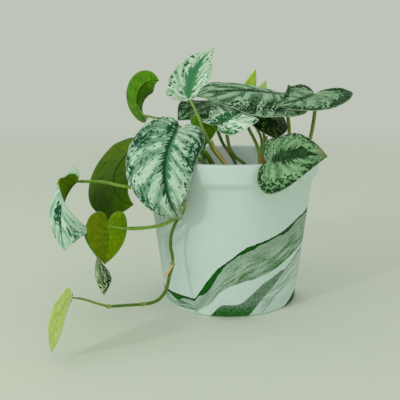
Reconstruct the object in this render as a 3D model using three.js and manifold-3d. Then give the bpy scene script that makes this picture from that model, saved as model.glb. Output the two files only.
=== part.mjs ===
// A satin pothos (Scindapsus pictus) growing in a tapered, collared pot.
// Millimetres, +Z up. The origin is the centre of the pot's flat base, and -Y is the plant's front.

import * as THREE from "three";
import { mergeVertices } from "three/addons/utils/BufferGeometryUtils.js";
import Module from "manifold-3d";

const wasm = await Module();
wasm.setup();

const { degToRad, clamp, lerp } = THREE.MathUtils;

// ---------------------------------------------------------------- driving dimensions

const GAP = 0.3; // clearance kept between neighbouring solids

const POT = {
  height: 106.8,
  rimRadius: 65,
  mouthRadius: 60,
  collarRadius: 63.9, // at the collar's lower edge
  collarFoot: 95.2, // height of that edge
  neckRadius: 59.5, // just under the collar
  neckHeight: 89.8, // where the body starts to swell out to the collar
  baseRadius: 48.3,
  wall: 3.4,
  floor: 4,
  edge: 1.3, // rounding of the lip and of the foot
  sides: 56,
};

const SOIL = {
  top: 90,
  crown: 2.5, // how much higher the middle lies than the edge
  lump: 0.7, // height of the lumps
  holeSlack: 0.4, // room round a stem in its hole
  sides: 36,
  rings: 6,
};

const BLADE = {
  thickness: 0.8,
  ribRidge: 0.5, // how far the midrib stands out under the blade at its base
  rows: 12, // along the margin, from the petiole to the tip
  columns: 3, // from the midrib to the margin
};

const STEM = {
  sides: 6,
  step: 6, // length of one straight piece of a stem
  foot: 78, // height at which the stems end in the soil
  collar: [88, 95], // between these heights a stem stands upright
};

const COLOUR = {
  pot: 0xe4ece5,
  soil: 0x3b2f26,
  silver: 0x8fb79b,
  green: 0x4f7f2c,
  pale: 0xa9c06a,
  stem: 0x7f9a4c,
  vine: 0x8aa25a,
  straw: 0xe0b860,
  brown: 0x9a5a22,
  root: 0xe0cfa8,
};

// ---------------------------------------------------------------- solids

// A closed geometry as a manifold solid, for cutting and joining.
function toSolid(geometry) {
  const bare = geometry.clone();
  bare.deleteAttribute("normal");
  bare.deleteAttribute("uv");
  const merged = mergeVertices(bare, 1e-4);
  return new wasm.Manifold(
    new wasm.Mesh({
      numProp: 3,
      vertProperties: new Float32Array(merged.attributes.position.array),
      triVerts: new Uint32Array(merged.index.array),
    }),
  );
}

function toGeometry(solid) {
  const { vertProperties, triVerts } = solid.getMesh();
  const geometry = new THREE.BufferGeometry();
  geometry.setAttribute("position", new THREE.BufferAttribute(vertProperties, 3));
  geometry.setIndex(new THREE.BufferAttribute(triVerts, 1));
  geometry.computeVertexNormals();
  return geometry;
}

// The largest connected piece of a solid.
function largestPiece(solid) {
  return solid.decompose().reduce((best, piece) => (piece.volume() > best.volume() ? piece : best));
}

const group = new THREE.Group();

function addMesh(name, geometry, colour, roughness) {
  const material = new THREE.MeshStandardMaterial({ color: colour, roughness, metalness: 0 });
  const mesh = new THREE.Mesh(geometry, material);
  mesh.name = name;
  group.add(mesh);
}

// ---------------------------------------------------------------- leaf blades

// A blade is an arrow-heart drawn about its midrib. Its midrib starts at base, where the petiole
// meets it, and heads for heading (0 is +X, 90 is +Y) at pitch above the level, rolled about itself.
// On its way it droops by bend, more and more with tipBend, and turns aside by sweep and twist.
// fold lifts both halves about the midrib, cup curls them on, and lobeBend curls the lobes back.
// left, right and lobe are shares of the length, and shoulder sets how far out it stays broad.
const LEAVES = {
  leaf_front_left: {
    base: [-33.5, -52, 127], length: 66, left: 0.29, right: 0.49, lobe: 0.19, shoulder: 1.6,
    heading: 242.5, pitch: -33, roll: 19, bend: 69, tipBend: 29, sweep: -45, twist: 2,
    fold: 13, tipFold: 19, cup: -74, lobeBend: 17, colour: "silver",
  },
  leaf_top: {
    base: [-29, -2, 146.5], length: 58, left: 0.29, right: 0.41, lobe: 0.12, shoulder: 1.2,
    heading: 98, pitch: 37, roll: 20, bend: -6, tipBend: -2, sweep: 49, twist: 23,
    fold: 28, cup: 12, lobeBend: -25, colour: "silver",
  },
  leaf_across: {
    base: [35, -7, 149.5], length: 66, left: 0.47, right: 0.39, lobe: 0.29, shoulder: 1.4,
    heading: 183, pitch: 9, roll: 15, bend: 1, tipBend: -1, sweep: -49, twist: -20,
    fold: -4, cup: -17, lobeBend: -6, colour: "silver",
  },
  leaf_right: {
    base: [59, -5, 149.5], length: 55, left: 0.5, right: 0.33, lobe: 0.29, shoulder: 1.2,
    heading: 256, pitch: -2, roll: 7, bend: 22, tipBend: 0, sweep: 33, twist: -37,
    fold: 10, cup: -3, lobeBend: -25, colour: "silver",
  },
  leaf_front_right: {
    base: [26.5, -63, 110], length: 36.5, left: 0.62, right: 0.62, lobe: 0.21, shoulder: 1.2,
    heading: 319, pitch: 17, roll: -53, bend: 42, tipBend: 29, sweep: -18, twist: 5,
    fold: 26, cup: -80, lobeBend: -34, colour: "silver",
  },
  leaf_shaded: {
    base: [24.5, 9, 141], length: 44, left: 0.45, right: 0.42, lobe: 0.25, shoulder: 1.2,
    heading: 280, pitch: -42, roll: 23, bend: -14, tipBend: -16, sweep: 5, twist: 21,
    fold: 4, cup: -25, lobeBend: 0, colour: "silver",
  },
  leaf_centre: {
    base: [-4, -37, 131.5], length: 38.5, left: 0.62, right: 0.45, lobe: 0.22, shoulder: 1.3,
    heading: 22, pitch: 34, roll: -15, bend: 66, tipBend: 9, sweep: -65, twist: 34,
    fold: 17, cup: -49, lobeBend: -11, colour: "silver",
  },
  leaf_behind_left: {
    base: [-15.5, 23, 143], length: 43.5, left: 0.47, right: 0.33, lobe: 0.22, shoulder: 1.2,
    heading: 230, pitch: -3, roll: 9, bend: 21, tipBend: -6, sweep: -25, twist: -38,
    fold: 1, cup: -15, lobeBend: 0, colour: "silver",
  },
  leaf_inner_green: {
    base: [-18.5, -14, 131], length: 22, left: 0.45, right: 0.47, lobe: 0.14, shoulder: 1.1,
    heading: 95, pitch: -62, roll: -26, bend: 0, tipBend: 2, sweep: 4, twist: 0,
    fold: 6, cup: -14, lobeBend: 4, colour: "green",
  },
  leaf_upper_left: {
    base: [-63.7, 10, 134.1], length: 38.5, left: 0.38, right: 0.56, lobe: 0.16, shoulder: 1.6,
    heading: 193, pitch: 45, roll: 264, bend: 24, tipBend: 0, sweep: -140, twist: -54,
    fold: 76, tipFold: 16, cup: 14, lobeBend: -4, colour: "green",
  },
  leaf_left_dark: {
    base: [-66.5, -14, 112.5], length: 70, left: 0.55, right: 0.42, lobe: 0.25, shoulder: 1.2,
    heading: 215, pitch: -27, roll: 184, bend: -48, tipBend: -1, sweep: 94, twist: 33,
    fold: 6, cup: 0, lobeBend: -10, colour: "green",
  },
  leaf_left_rolled: {
    base: [-102.2, -42, 93.1], length: 51.5, left: 0.69, right: 0.26, lobe: 0.19, shoulder: 1.6,
    heading: 183, pitch: -42, roll: 13, bend: 96, tipBend: -52, sweep: -33, twist: -73,
    fold: 50, tipFold: 7, cup: -58, lobeBend: -60, colour: "silver",
  },
  leaf_left_low: {
    base: [-76.5, -68, 69], length: 27.5, left: 0.5, right: 0.45, lobe: 0.35, shoulder: 1.2,
    heading: 268, pitch: -80, roll: 212, bend: -34, tipBend: -7, sweep: 3, twist: -2,
    fold: -22, cup: 45, lobeBend: 20, colour: "green",
  },
  leaf_left_twisted: {
    base: [-90.5, -39, 59.5], length: 53.5, left: 0.29, right: 0.32, lobe: 0.2, shoulder: 1.2,
    heading: 267, pitch: -55, roll: 157, bend: -18, tipBend: -6, sweep: 41, twist: 141,
    fold: 12, cup: 13, lobeBend: 1, colour: "silver",
  },
  leaf_vine_end: {
    base: [-91, -112, 37], length: 33.5, left: 0.33, right: 0.43, lobe: 0.16, shoulder: 1.1,
    heading: 211, pitch: -52, roll: 171, bend: -28, tipBend: -12, sweep: -4, twist: -34,
    fold: -2, cup: -15, lobeBend: 43, colour: "pale",
  },
};

// The blade's frames along its midrib: place, forward, side and normal, at equal steps.
function midribFrames(leaf) {
  const steps = 40;
  const heading = degToRad(leaf.heading);
  const pitch = degToRad(leaf.pitch);
  const place = new THREE.Vector3(...leaf.base);
  const forward = new THREE.Vector3(
    Math.cos(heading) * Math.cos(pitch),
    Math.sin(heading) * Math.cos(pitch),
    Math.sin(pitch),
  );
  const side = new THREE.Vector3(Math.sin(heading), -Math.cos(heading), 0);
  side.applyAxisAngle(forward, -degToRad(leaf.roll));
  const normal = new THREE.Vector3().crossVectors(side, forward);
  const frameHere = () => ({
    place: place.clone(),
    forward: forward.clone(),
    side: side.clone(),
    normal: normal.clone(),
  });
  const frames = [frameHere()];
  for (let i = 0; i < steps; i += 1) {
    const along = (i + 0.5) / steps;
    const droop = degToRad(leaf.bend + 2 * leaf.tipBend * along) / steps;
    forward.applyAxisAngle(side, -droop);
    normal.applyAxisAngle(side, -droop);
    const turn = degToRad(leaf.sweep) / steps;
    forward.applyAxisAngle(normal, -turn);
    side.applyAxisAngle(normal, -turn);
    const roll = degToRad(leaf.twist) / steps;
    side.applyAxisAngle(forward, roll);
    normal.applyAxisAngle(forward, roll);
    place.addScaledVector(forward, leaf.length / steps);
    frames.push(frameHere());
  }
  return frames;
}

// The frame at a share of the length. Before the midrib's start it follows the curl of the lobes.
function frameAt(leaf, frames, along) {
  if (along <= 0) {
    const { place, forward, side, normal } = frames[0];
    const curl = (degToRad(leaf.lobeBend) * -along) / leaf.lobe;
    const back = forward.clone().applyAxisAngle(side, curl / 2);
    return {
      place: place.clone().addScaledVector(back, along * leaf.length),
      side,
      normal: normal.clone().applyAxisAngle(side, curl),
    };
  }
  const last = frames.length - 1;
  const spot = Math.min(along, 1) * last;
  const index = Math.min(Math.floor(spot), last - 1);
  const [from, to] = [frames[index], frames[index + 1]];
  return {
    place: from.place.clone().lerp(to.place, spot - index),
    side: from.side.clone().lerp(to.side, spot - index).normalize(),
    normal: from.normal.clone().lerp(to.normal, spot - index).normalize(),
  };
}

// How the outline runs: the lobe takes up the first part of the margin, the first side veins all
// start at the petiole, and the exponents round off the outline and bend the side veins forward.
const OUTLINE = {
  lobeShare: 0.42,
  veinStart: 0.25,
  veinSpread: 1.6,
  advance: 1.05,
  narrowing: 1.12,
  veinBend: 1.25,
  spread: 0.95,
};

// The margin of one half, from the petiole (0) round the lobe to the tip (1), in shares of length.
function margin(leaf, width, share) {
  const { lobeShare, advance, narrowing } = OUTLINE;
  if (share < lobeShare) {
    const turn = (Math.PI * share) / lobeShare;
    return [-leaf.lobe * Math.sin(turn), (width * (1 - Math.cos(turn))) / 2];
  }
  const onward = (share - lobeShare) / (1 - lobeShare);
  const breadth = Math.cos((Math.PI / 2) * onward ** leaf.shoulder);
  return [onward ** advance, width * Math.max(breadth, 0) ** narrowing];
}

// Where on the midrib the side vein starts that meets the margin at a given share.
function veinRoot(share) {
  const { veinStart, veinSpread } = OUTLINE;
  return (Math.max(share - veinStart, 0) / (1 - veinStart)) ** veinSpread;
}

// A point of the blade's middle surface: share runs along the margin, out runs from midrib to margin.
function bladePoint(leaf, frames, half, share, out) {
  const width = half > 0 ? leaf.right : leaf.left;
  const [edgeAlong, edgeAside] = margin(leaf, width, share);
  const root = veinRoot(share);
  const along = lerp(root, edgeAlong, out ** OUTLINE.veinBend);
  const aside = edgeAside * out ** OUTLINE.spread;
  const { place, side, normal } = frameAt(leaf, frames, along);
  const tipFold = leaf.tipFold ?? leaf.fold;
  const fold = degToRad(lerp(leaf.fold, tipFold, clamp(along, 0, 1)));
  const lift = fold + (degToRad(leaf.cup) * aside) / width / 2;
  const reach = aside * leaf.length;
  return place
    .clone()
    .addScaledVector(side, half * reach * Math.cos(lift))
    .addScaledVector(normal, reach * Math.sin(lift));
}

// The blade as a closed solid: the same triangles on both faces, joined round the margin.
function bladeGeometry(leaf, thickness) {
  const frames = midribFrames(leaf);
  const { rows, columns } = BLADE;
  const points = [];
  const ridges = [];
  const addPoint = (point, ridge) => {
    points.push(point);
    ridges.push(ridge);
    return points.length - 1;
  };
  const petiolePoint = addPoint(frames[0].place, BLADE.ribRidge);
  const tipPoint = addPoint(frames.at(-1).place, 0);
  const ribPoints = [];
  for (let row = 0; row < rows; row += 1) {
    const root = veinRoot(row / rows);
    const ridge = BLADE.ribRidge * (1 - root);
    ribPoints.push(root > 0 ? addPoint(frameAt(leaf, frames, root).place, ridge) : petiolePoint);
  }
  const triangles = [];
  const rim = [];
  const addTriangle = (a, b, c, half) => {
    if (a !== b && b !== c && c !== a) {
      triangles.push(half > 0 ? [a, b, c] : [a, c, b]);
    }
  };
  for (const half of [-1, 1]) {
    const grid = [];
    for (let row = 1; row <= rows; row += 1) {
      const line = [row < rows ? ribPoints[row] : tipPoint];
      for (let column = 1; column <= columns; column += 1) {
        const point = bladePoint(leaf, frames, half, row / rows, column / columns);
        line.push(row < rows ? addPoint(point, 0) : tipPoint);
      }
      grid.push(line);
    }
    for (let row = 1; row < rows; row += 1) {
      for (let column = 0; column < columns; column += 1) {
        const [a, b] = [grid[row - 1][column], grid[row - 1][column + 1]];
        const [c, d] = [grid[row][column], grid[row][column + 1]];
        addTriangle(a, d, c, half);
        addTriangle(a, b, d, half);
      }
    }
    const edge = [...grid[0], ...grid.slice(1).map((line) => line[columns])];
    rim.push(...(half < 0 ? edge : edge.reverse().slice(1)));
  }
  return thicken(points, triangles, rim, thickness, ridges);
}

// Doubles a sheet of triangles into a solid. rim is the closed loop of its border.
function thicken(points, triangles, rim, thickness, ridges) {
  const normals = points.map(() => new THREE.Vector3());
  for (const corners of triangles) {
    const [a, b, c] = corners.map((index) => points[index]);
    const face = new THREE.Vector3().crossVectors(b.clone().sub(a), c.clone().sub(a));
    for (const corner of corners) {
      normals[corner].add(face);
    }
  }
  const offset = (side, ridge) =>
    points.flatMap((point, index) => {
      const reach = side * (thickness / 2 + ridge * ridges[index]);
      return point.clone().addScaledVector(normals[index].clone().normalize(), reach).toArray();
    });
  const count = points.length;
  const faces = triangles.flatMap(([a, b, c]) => [a, b, c, a + count, c + count, b + count]);
  for (let i = 0; i + 1 < rim.length; i += 1) {
    const [from, to] = [rim[i], rim[i + 1]];
    faces.push(from, to, from + count, to, to + count, from + count);
  }
  const geometry = new THREE.BufferGeometry();
  const positions = [...offset(1, 0), ...offset(-1, 1)];
  geometry.setAttribute("position", new THREE.Float32BufferAttribute(positions, 3));
  geometry.setIndex(faces);
  geometry.computeVertexNormals();
  return geometry;
}

for (const [name, leaf] of Object.entries(LEAVES)) {
  addMesh(name, bladeGeometry(leaf, BLADE.thickness), COLOUR[leaf.colour], 0.5);
}

// ---------------------------------------------------------------- stems

function smoothCurve(points) {
  return new THREE.CatmullRomCurve3(points.map((point) => new THREE.Vector3(...point)));
}

// A round or crescent section carried along a smooth curve through the given points.
function sweep(points, section) {
  const path = smoothCurve(points);
  const steps = Math.max(3, Math.round(path.getLength() / STEM.step));
  return new THREE.ExtrudeGeometry(section, { steps, extrudePath: path, bevelEnabled: false });
}

function roundSection(radius) {
  const corners = Array.from({ length: STEM.sides }, (_, i) => {
    const turn = (2 * Math.PI * i) / STEM.sides;
    return new THREE.Vector2(radius * Math.cos(turn), radius * Math.sin(turn));
  });
  return new THREE.Shape(corners);
}

const stemSolid = (points, radius) => toSolid(sweep(points, roundSection(radius)));

// Cuts a stem back from the blade that it carries, leaving a seam of about GAP all round.
function clearOf(solid, leafName) {
  const leaf = LEAVES[leafName];
  const cutter = toSolid(bladeGeometry(leaf, BLADE.thickness + 2 * GAP));
  const { side, forward } = midribFrames(leaf)[0];
  const shifts = [
    side.clone().multiplyScalar(GAP),
    side.clone().multiplyScalar(-GAP),
    forward.clone().multiplyScalar(-GAP),
  ];
  const cut = shifts.reduce((rest, shift) => rest.subtract(cutter.translate(shift.toArray())), solid);
  return largestPiece(cut);
}

// Stems that stand in the soil at foot and lead to the leaf they carry, if they carry one.
const STANDING = {
  petiole_top: {
    radius: 1.2,
    foot: [-2, -26],
    path: [
      [-4.5, -26, 103.5], [-11.5, -26, 112.5], [-15, -25.5, 119.5], [-18.5, -22.5, 127],
      [-21.5, -18, 134], [-25, -11.5, 140.5],
    ],
    carries: "leaf_top",
  },
  petiole_across: {
    radius: 1.3,
    foot: [36, -10],
    path: [[38.5, -10, 103.5], [41, -9, 114], [42, -8, 124], [41, -7.5, 133], [39, -7.5, 142]],
    carries: "leaf_across",
  },
  petiole_right: {
    radius: 1.4,
    foot: [46, -2],
    path: [[53, -2, 104], [58, -2, 119], [60, -2.5, 131.5], [60.5, -3.5, 140]],
    carries: "leaf_right",
  },
  petiole_front_right: {
    radius: 1.3,
    foot: [26, -36],
    path: [[26.5, -38.5, 102], [27.5, -46, 109.5], [27.5, -54, 111.5]],
    carries: "leaf_front_right",
  },
  petiole_shaded: {
    radius: 1.2,
    foot: [21, -22],
    path: [
      [20.5, -21, 107.5], [19.5, -18, 112.5], [16.5, -12, 119.5], [13, -8, 126.5],
      [14, -1, 134], [19, 5, 139],
    ],
    carries: "leaf_shaded",
  },
  petiole_centre: {
    radius: 1.2,
    foot: [12, -29],
    path: [
      [10.4, -30, 102.5], [4.5, -32, 107.5], [0.2, -34, 113.6], [-1.6, -34.8, 120.5],
      [-2.6, -35.5, 126],
    ],
    carries: "leaf_centre",
  },
  petiole_behind_left: {
    radius: 1.2,
    foot: [5, -16.5],
    path: [
      [3.8, -15.5, 101.5], [-0.4, -9, 108.5], [-5, 0, 114], [-8.5, 6, 121.5], [-11.5, 11.5, 130],
      [-13.5, 15, 137],
    ],
    carries: "leaf_behind_left",
  },
  petiole_inner_green: {
    radius: 1,
    foot: [-17, -15],
    path: [[-18, -15.5, 106], [-18.5, -16, 120]],
    carries: "leaf_inner_green",
  },
  petiole_upper_left: {
    radius: 1,
    foot: [-18, -2],
    path: [
      [-22, 2, 109.5], [-34, 8, 123.5], [-44, 10, 129.5], [-50.5, 10, 131.3], [-56.5, 10, 132.4],
      [-60.5, 10, 133.5],
    ],
    carries: "leaf_upper_left",
  },
  petiole_left_dark: {
    radius: 1.2,
    foot: [-14, -32],
    path: [
      [-15, -36.5, 102], [-19.5, -42.5, 107.5], [-28, -43, 112], [-42, -35, 115.5],
      [-57, -21, 114.5],
    ],
    carries: "leaf_left_dark",
  },
  spear_tall: {
    radius: 1.1,
    foot: [22, -8],
    path: [[21, -6, 106], [23, 0, 112.5], [22.5, 8, 119], [17, 16, 129], [12, 21, 137], [11.5, 22, 143]],
  },
  spear_short: {
    radius: 1.1,
    foot: [28, -4],
    path: [
      [23.5, -1, 105], [25, 4, 110.5], [25.5, 11, 117], [24, 19, 125], [21.8, 26, 135],
      [21.7, 27, 143],
    ],
  },
};

// A leaf still rolled up at the end of a petiole: a slim spindle between two points.
const SPEARS = {
  spear_tall: { base: [10, 22, 139], tip: [19.2, 22, 167.8], radius: 5.3 },
  spear_short: { base: [20.4, 27, 139], tip: [27.1, 27, 159.8], radius: 4.9 },
};

function spindleSolid({ base, tip, radius }) {
  const [from, to] = [new THREE.Vector3(...base), new THREE.Vector3(...tip)];
  const length = from.distanceTo(to);
  const rings = 7;
  const fullness = 0.87; // below 1 the spindle is widest below its middle
  const profile = Array.from({ length: rings + 1 }, (_, i) => {
    const share = i / rings;
    const swell = Math.sin(Math.PI * share ** fullness);
    return new THREE.Vector2(radius * Math.max(swell, 0), share * length);
  });
  profile[0].x = 0;
  profile.at(-1).x = 0;
  const geometry = new THREE.LatheGeometry(profile, STEM.sides + 1);
  const up = new THREE.Vector3(0, 1, 0);
  const lean = new THREE.Quaternion().setFromUnitVectors(up, to.clone().sub(from).normalize());
  return toSolid(geometry.applyQuaternion(lean).translate(...base));
}

// The full path of a standing stem: straight up out of the soil, then along its own way.
function standingPath({ foot: [x, y], path, carries }) {
  const start = [STEM.foot, ...STEM.collar].map((height) => [x, y, height]);
  const end = carries ? [LEAVES[carries].base] : [];
  return [...start, ...path, ...end];
}

for (const [name, stem] of Object.entries(STANDING)) {
  const bare = stemSolid(standingPath(stem), stem.radius);
  const tipped = SPEARS[name] ? bare.add(spindleSolid(SPEARS[name])) : bare;
  const solid = stem.carries ? clearOf(tipped, stem.carries) : tipped;
  addMesh(name, toGeometry(solid), COLOUR.stem, 0.45);
}

// The trailing vine climbs out of the soil, leans over the rim and hangs down the pot's side.
// Each stretch is thinner than the one before, and its leaves' petioles grow from it.
const VINE_STAND = { foot: [-9, -36], radius: 1.8 };
const VINE = {
  crown: {
    radius: 1.8,
    path: [
      [-9, -36, STEM.foot], [-9, -36, 88], [-9.2, -36.4, 95], [-12.5, -41.5, 106],
      [-17, -47, 113.5], [-21, -52.5, 115.5], [-25, -57.5, 113.5], [-27.8, -61, 108.5],
      [-28.8, -61.8, 102], [-29, -60.5, 88],
    ],
  },
  hanging: {
    radius: 1.1,
    path: [
      [-29, -60.7, 90], [-29, -59.5, 84], [-29.8, -58, 77], [-34.5, -57.5, 69.5],
      [-38, -56, 61], [-39, -54, 52], [-38, -52.5, 44], [-38, -53, 39], [-40, -56, 32],
      [-41.5, -60, 25], [-45, -66, 20.5], [-49.5, -73, 20], [-55, -80, 21.5],
    ],
  },
  tail: {
    radius: 0.95,
    path: [
      [-53, -77.5, 20.8], [-55, -80, 21.5], [-65.5, -91, 24.8], [-70, -96, 26.3],
      [-73, -99.5, 27.6],
    ],
  },
  petiole_end: {
    radius: 0.7,
    path: [
      [-71.5, -98, 27], [-74, -100.5, 28.6], [-78, -104, 31.3], [-83.5, -108.5, 35.2],
      [-88, -111, 37],
    ],
    carries: "leaf_vine_end",
  },
  petiole_front_left: {
    radius: 1.3,
    path: [[-17.5, -48, 114], [-21, -49.5, 120], [-26.5, -50.5, 125.5]],
    carries: "leaf_front_left",
  },
  petiole_rolled: {
    radius: 1.2,
    path: [
      [-29, -60, 86], [-43, -59, 89.5], [-60, -58.2, 91.5], [-70.5, -58.5, 93],
      [-80.5, -54.5, 94.5], [-90.5, -48.5, 94],
    ],
    carries: "leaf_left_rolled",
  },
  petiole_low: {
    radius: 1.1,
    path: [
      [-29.5, -59, 80], [-32.6, -58.3, 74], [-37.5, -59.5, 70.3], [-43.5, -61.5, 68.1],
      [-56, -64.5, 66.5], [-67, -67, 67],
    ],
    carries: "leaf_left_low",
  },
  petiole_twisted: {
    radius: 0.9,
    path: [[-29.2, -59.5, 82], [-38, -53.5, 69.5], [-51, -49, 64], [-69, -43, 61.5], [-82, -40, 60]],
    carries: "leaf_left_twisted",
  },
};

// Swellings of the vine where a leaf or a root has grown.
const VINE_NODES = [
  { place: [-29.5, -58.8, 80], radius: 1.7 },
  { place: [-38, -52.8, 40], radius: 1.4 },
  { place: [-54.5, -79.3, 21.4], radius: 1.25 },
  { place: [-71.8, -98.4, 27.1], radius: 1.2 },
];

function vineSolid() {
  const parts = Object.values(VINE).map(({ radius, path, carries }) => {
    if (!carries) {
      return stemSolid(path, radius);
    }
    return clearOf(stemSolid([...path, LEAVES[carries].base], radius), carries);
  });
  for (const { place, radius } of VINE_NODES) {
    parts.push(toSolid(new THREE.SphereGeometry(radius, 8, 6).translate(...place)));
  }
  return parts.reduce((whole, piece) => whole.add(piece));
}

addMesh("vine", toGeometry(vineSolid()), COLOUR.vine, 0.45);

// A short dry root at the vine's lowest node.
const AERIAL_ROOT = { radius: 0.9, path: [[-38, -55.9, 39.6], [-40.3, -56.4, 35.4], [-43, -57, 31.5]] };
addMesh("aerial_root", sweep(AERIAL_ROOT.path, roundSection(AERIAL_ROOT.radius)), COLOUR.root, 0.8);

// ---------------------------------------------------------------- sheaths and unopened leaves

// Thin papery sheaths half wrapped round a petiole, between two shares of its length.
const SHEATHS = {
  sheath_top: { stem: "petiole_top", from: 0.24, to: 0.52, turn: 200, colour: "straw" },
  sheath_shaded: { stem: "petiole_shaded", from: 0.24, to: 0.38, turn: 180, colour: "brown" },
  sheath_behind_left: { stem: "petiole_behind_left", from: 0.36, to: 0.45, turn: 180, colour: "brown" },
  sheath_spear: { stem: "spear_short", from: 0.45, to: 0.6, turn: 180, colour: "pale" },
};
const SHEATH = { thickness: 0.7, wrap: 200, corners: 6, pieces: 4 };

function crescentSection(innerRadius, turn) {
  const ring = (radius) =>
    Array.from({ length: SHEATH.corners + 1 }, (_, i) => {
      const angle = degToRad(turn + SHEATH.wrap * (i / SHEATH.corners - 0.5));
      return new THREE.Vector2(radius * Math.cos(angle), radius * Math.sin(angle));
    });
  return new THREE.Shape([...ring(innerRadius + SHEATH.thickness), ...ring(innerRadius).reverse()]);
}

function sheathGeometry({ stem, from, to, turn }) {
  const curve = smoothCurve(standingPath(STANDING[stem]));
  const points = Array.from({ length: SHEATH.pieces + 1 }, (_, i) =>
    curve.getPointAt(lerp(from, to, i / SHEATH.pieces)).toArray(),
  );
  return sweep(points, crescentSection(STANDING[stem].radius + 1.5 * GAP, turn));
}

for (const [name, sheath] of Object.entries(SHEATHS)) {
  addMesh(name, sheathGeometry(sheath), COLOUR[sheath.colour], 0.8);
}

// ---------------------------------------------------------------- pot and soil

// An arc of a profile round a centre, between two angles in degrees.
function arc([radius, height], size, from, to) {
  return [0, 0.5, 1].map((share) => {
    const turn = degToRad(lerp(from, to, share));
    return [radius + size * Math.cos(turn), height + size * Math.sin(turn)];
  });
}

function lathe(profile, sides) {
  const points = profile.map(([radius, height]) => new THREE.Vector2(radius, height));
  return new THREE.LatheGeometry(points, sides).rotateX(Math.PI / 2);
}

// The body swells out to the collar in an even S.
function collarStep() {
  return [0, 1 / 3, 2 / 3, 1].map((share) => [
    lerp(POT.neckRadius, POT.collarRadius, THREE.MathUtils.smoothstep(share, 0, 1)),
    lerp(POT.neckHeight, POT.collarFoot, share),
  ]);
}

const { edge } = POT;
const potProfile = [
  [0, 0],
  ...arc([POT.baseRadius - edge, edge], edge, -90, 0),
  ...collarStep(),
  ...arc([POT.rimRadius - edge, POT.height - edge], edge, 0, 90),
  ...arc([POT.mouthRadius + edge, POT.height - edge], edge, 90, 180),
  [POT.neckRadius - POT.wall, POT.neckHeight],
  [POT.baseRadius - POT.wall, POT.floor + edge],
  [POT.baseRadius - POT.wall - edge, POT.floor],
  [0, POT.floor],
];
addMesh("pot", lathe(potProfile, POT.sides), COLOUR.pot, 0.35);

// The soil fills the pot from its floor to well below the rim, with a lumpy, slightly domed top.
function soilTop(x, y) {
  const dome = SOIL.crown * (1 - (x * x + y * y) / POT.mouthRadius ** 2);
  const broad = Math.sin(0.31 * x + 1.3) * Math.cos(0.27 * y);
  const small = 0.6 * Math.sin(0.62 * y - 0.44 * x);
  return SOIL.top + dome + SOIL.lump * (broad + small);
}

// The soil's radius at a height, a little inside the pot's tapered wall.
function soilRadius(height) {
  const share = (height - edge) / (POT.neckHeight - edge);
  return lerp(POT.baseRadius, POT.neckRadius, share) - POT.wall - 2 * GAP;
}

function soilSolid() {
  const low = POT.floor + GAP;
  const bottomEdge = low + 2 * edge;
  const topRadius = soilRadius(SOIL.top);
  const rings = Array.from({ length: SOIL.rings }, (_, i) => 1 - i / SOIL.rings);
  const profile = [
    [0, low],
    [soilRadius(low) - edge, low],
    [soilRadius(bottomEdge), bottomEdge],
    ...rings.map((share) => [topRadius * share, SOIL.top]),
    [0, SOIL.top],
  ];
  const geometry = lathe(profile, SOIL.sides);
  const { position } = geometry.attributes;
  for (let i = 0; i < position.count; i += 1) {
    if (position.getZ(i) > bottomEdge + GAP) {
      position.setZ(i, soilTop(position.getX(i), position.getY(i)));
    }
  }
  return toSolid(geometry);
}

// Each standing stem has a plain round hole in the soil, open at the top.
function stemHole({ foot: [x, y], radius }) {
  const top = SOIL.top + 3 * SOIL.crown;
  const bottom = STEM.foot - GAP;
  const reach = radius + SOIL.holeSlack;
  const hole = new THREE.CylinderGeometry(reach, reach, top - bottom, STEM.sides + 3);
  hole.rotateX(Math.PI / 2).translate(x, y, (top + bottom) / 2);
  return toSolid(hole);
}

const holes = [...Object.values(STANDING), VINE_STAND].map(stemHole);
const soil = holes.reduce((rest, hole) => rest.subtract(hole), soilSolid());
addMesh("soil", toGeometry(soil), COLOUR.soil, 1);

export default group;
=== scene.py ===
# %% [markdown]
# # A satin pothos in a washed-print pot
# The packed CAD model is a fixed frame: it says where every leaf, stem and the pot stand. This
# notebook dresses that frame. The pot and its soil come first, then the leaf blades, the stems that
# carry them, the vine with its root, and the dry sheaths. Floor, lamps and camera come last. Lengths
# are written in millimetres, as on a drawing, and turned into metres only when a mesh is made.

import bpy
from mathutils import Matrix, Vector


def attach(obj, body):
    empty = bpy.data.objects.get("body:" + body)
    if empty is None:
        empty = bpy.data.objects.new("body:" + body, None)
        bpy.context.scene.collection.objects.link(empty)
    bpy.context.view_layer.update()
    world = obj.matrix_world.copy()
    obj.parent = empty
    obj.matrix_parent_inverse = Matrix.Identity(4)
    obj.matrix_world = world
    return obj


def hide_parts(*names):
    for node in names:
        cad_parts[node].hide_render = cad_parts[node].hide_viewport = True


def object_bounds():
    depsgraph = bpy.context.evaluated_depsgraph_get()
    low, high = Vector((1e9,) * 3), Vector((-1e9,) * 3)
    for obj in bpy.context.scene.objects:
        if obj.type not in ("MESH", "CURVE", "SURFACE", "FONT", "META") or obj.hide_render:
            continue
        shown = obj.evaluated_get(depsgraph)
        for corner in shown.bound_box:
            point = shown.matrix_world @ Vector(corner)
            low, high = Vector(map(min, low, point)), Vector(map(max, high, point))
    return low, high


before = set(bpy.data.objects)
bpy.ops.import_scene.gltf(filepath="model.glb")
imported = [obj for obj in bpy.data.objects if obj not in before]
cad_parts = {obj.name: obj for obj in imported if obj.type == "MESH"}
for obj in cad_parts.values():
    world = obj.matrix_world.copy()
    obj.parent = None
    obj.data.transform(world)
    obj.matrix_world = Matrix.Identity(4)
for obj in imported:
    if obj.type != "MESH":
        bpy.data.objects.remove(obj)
cad_box = [list(corner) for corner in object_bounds()]
print("CAD box in metres", cad_box)
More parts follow.
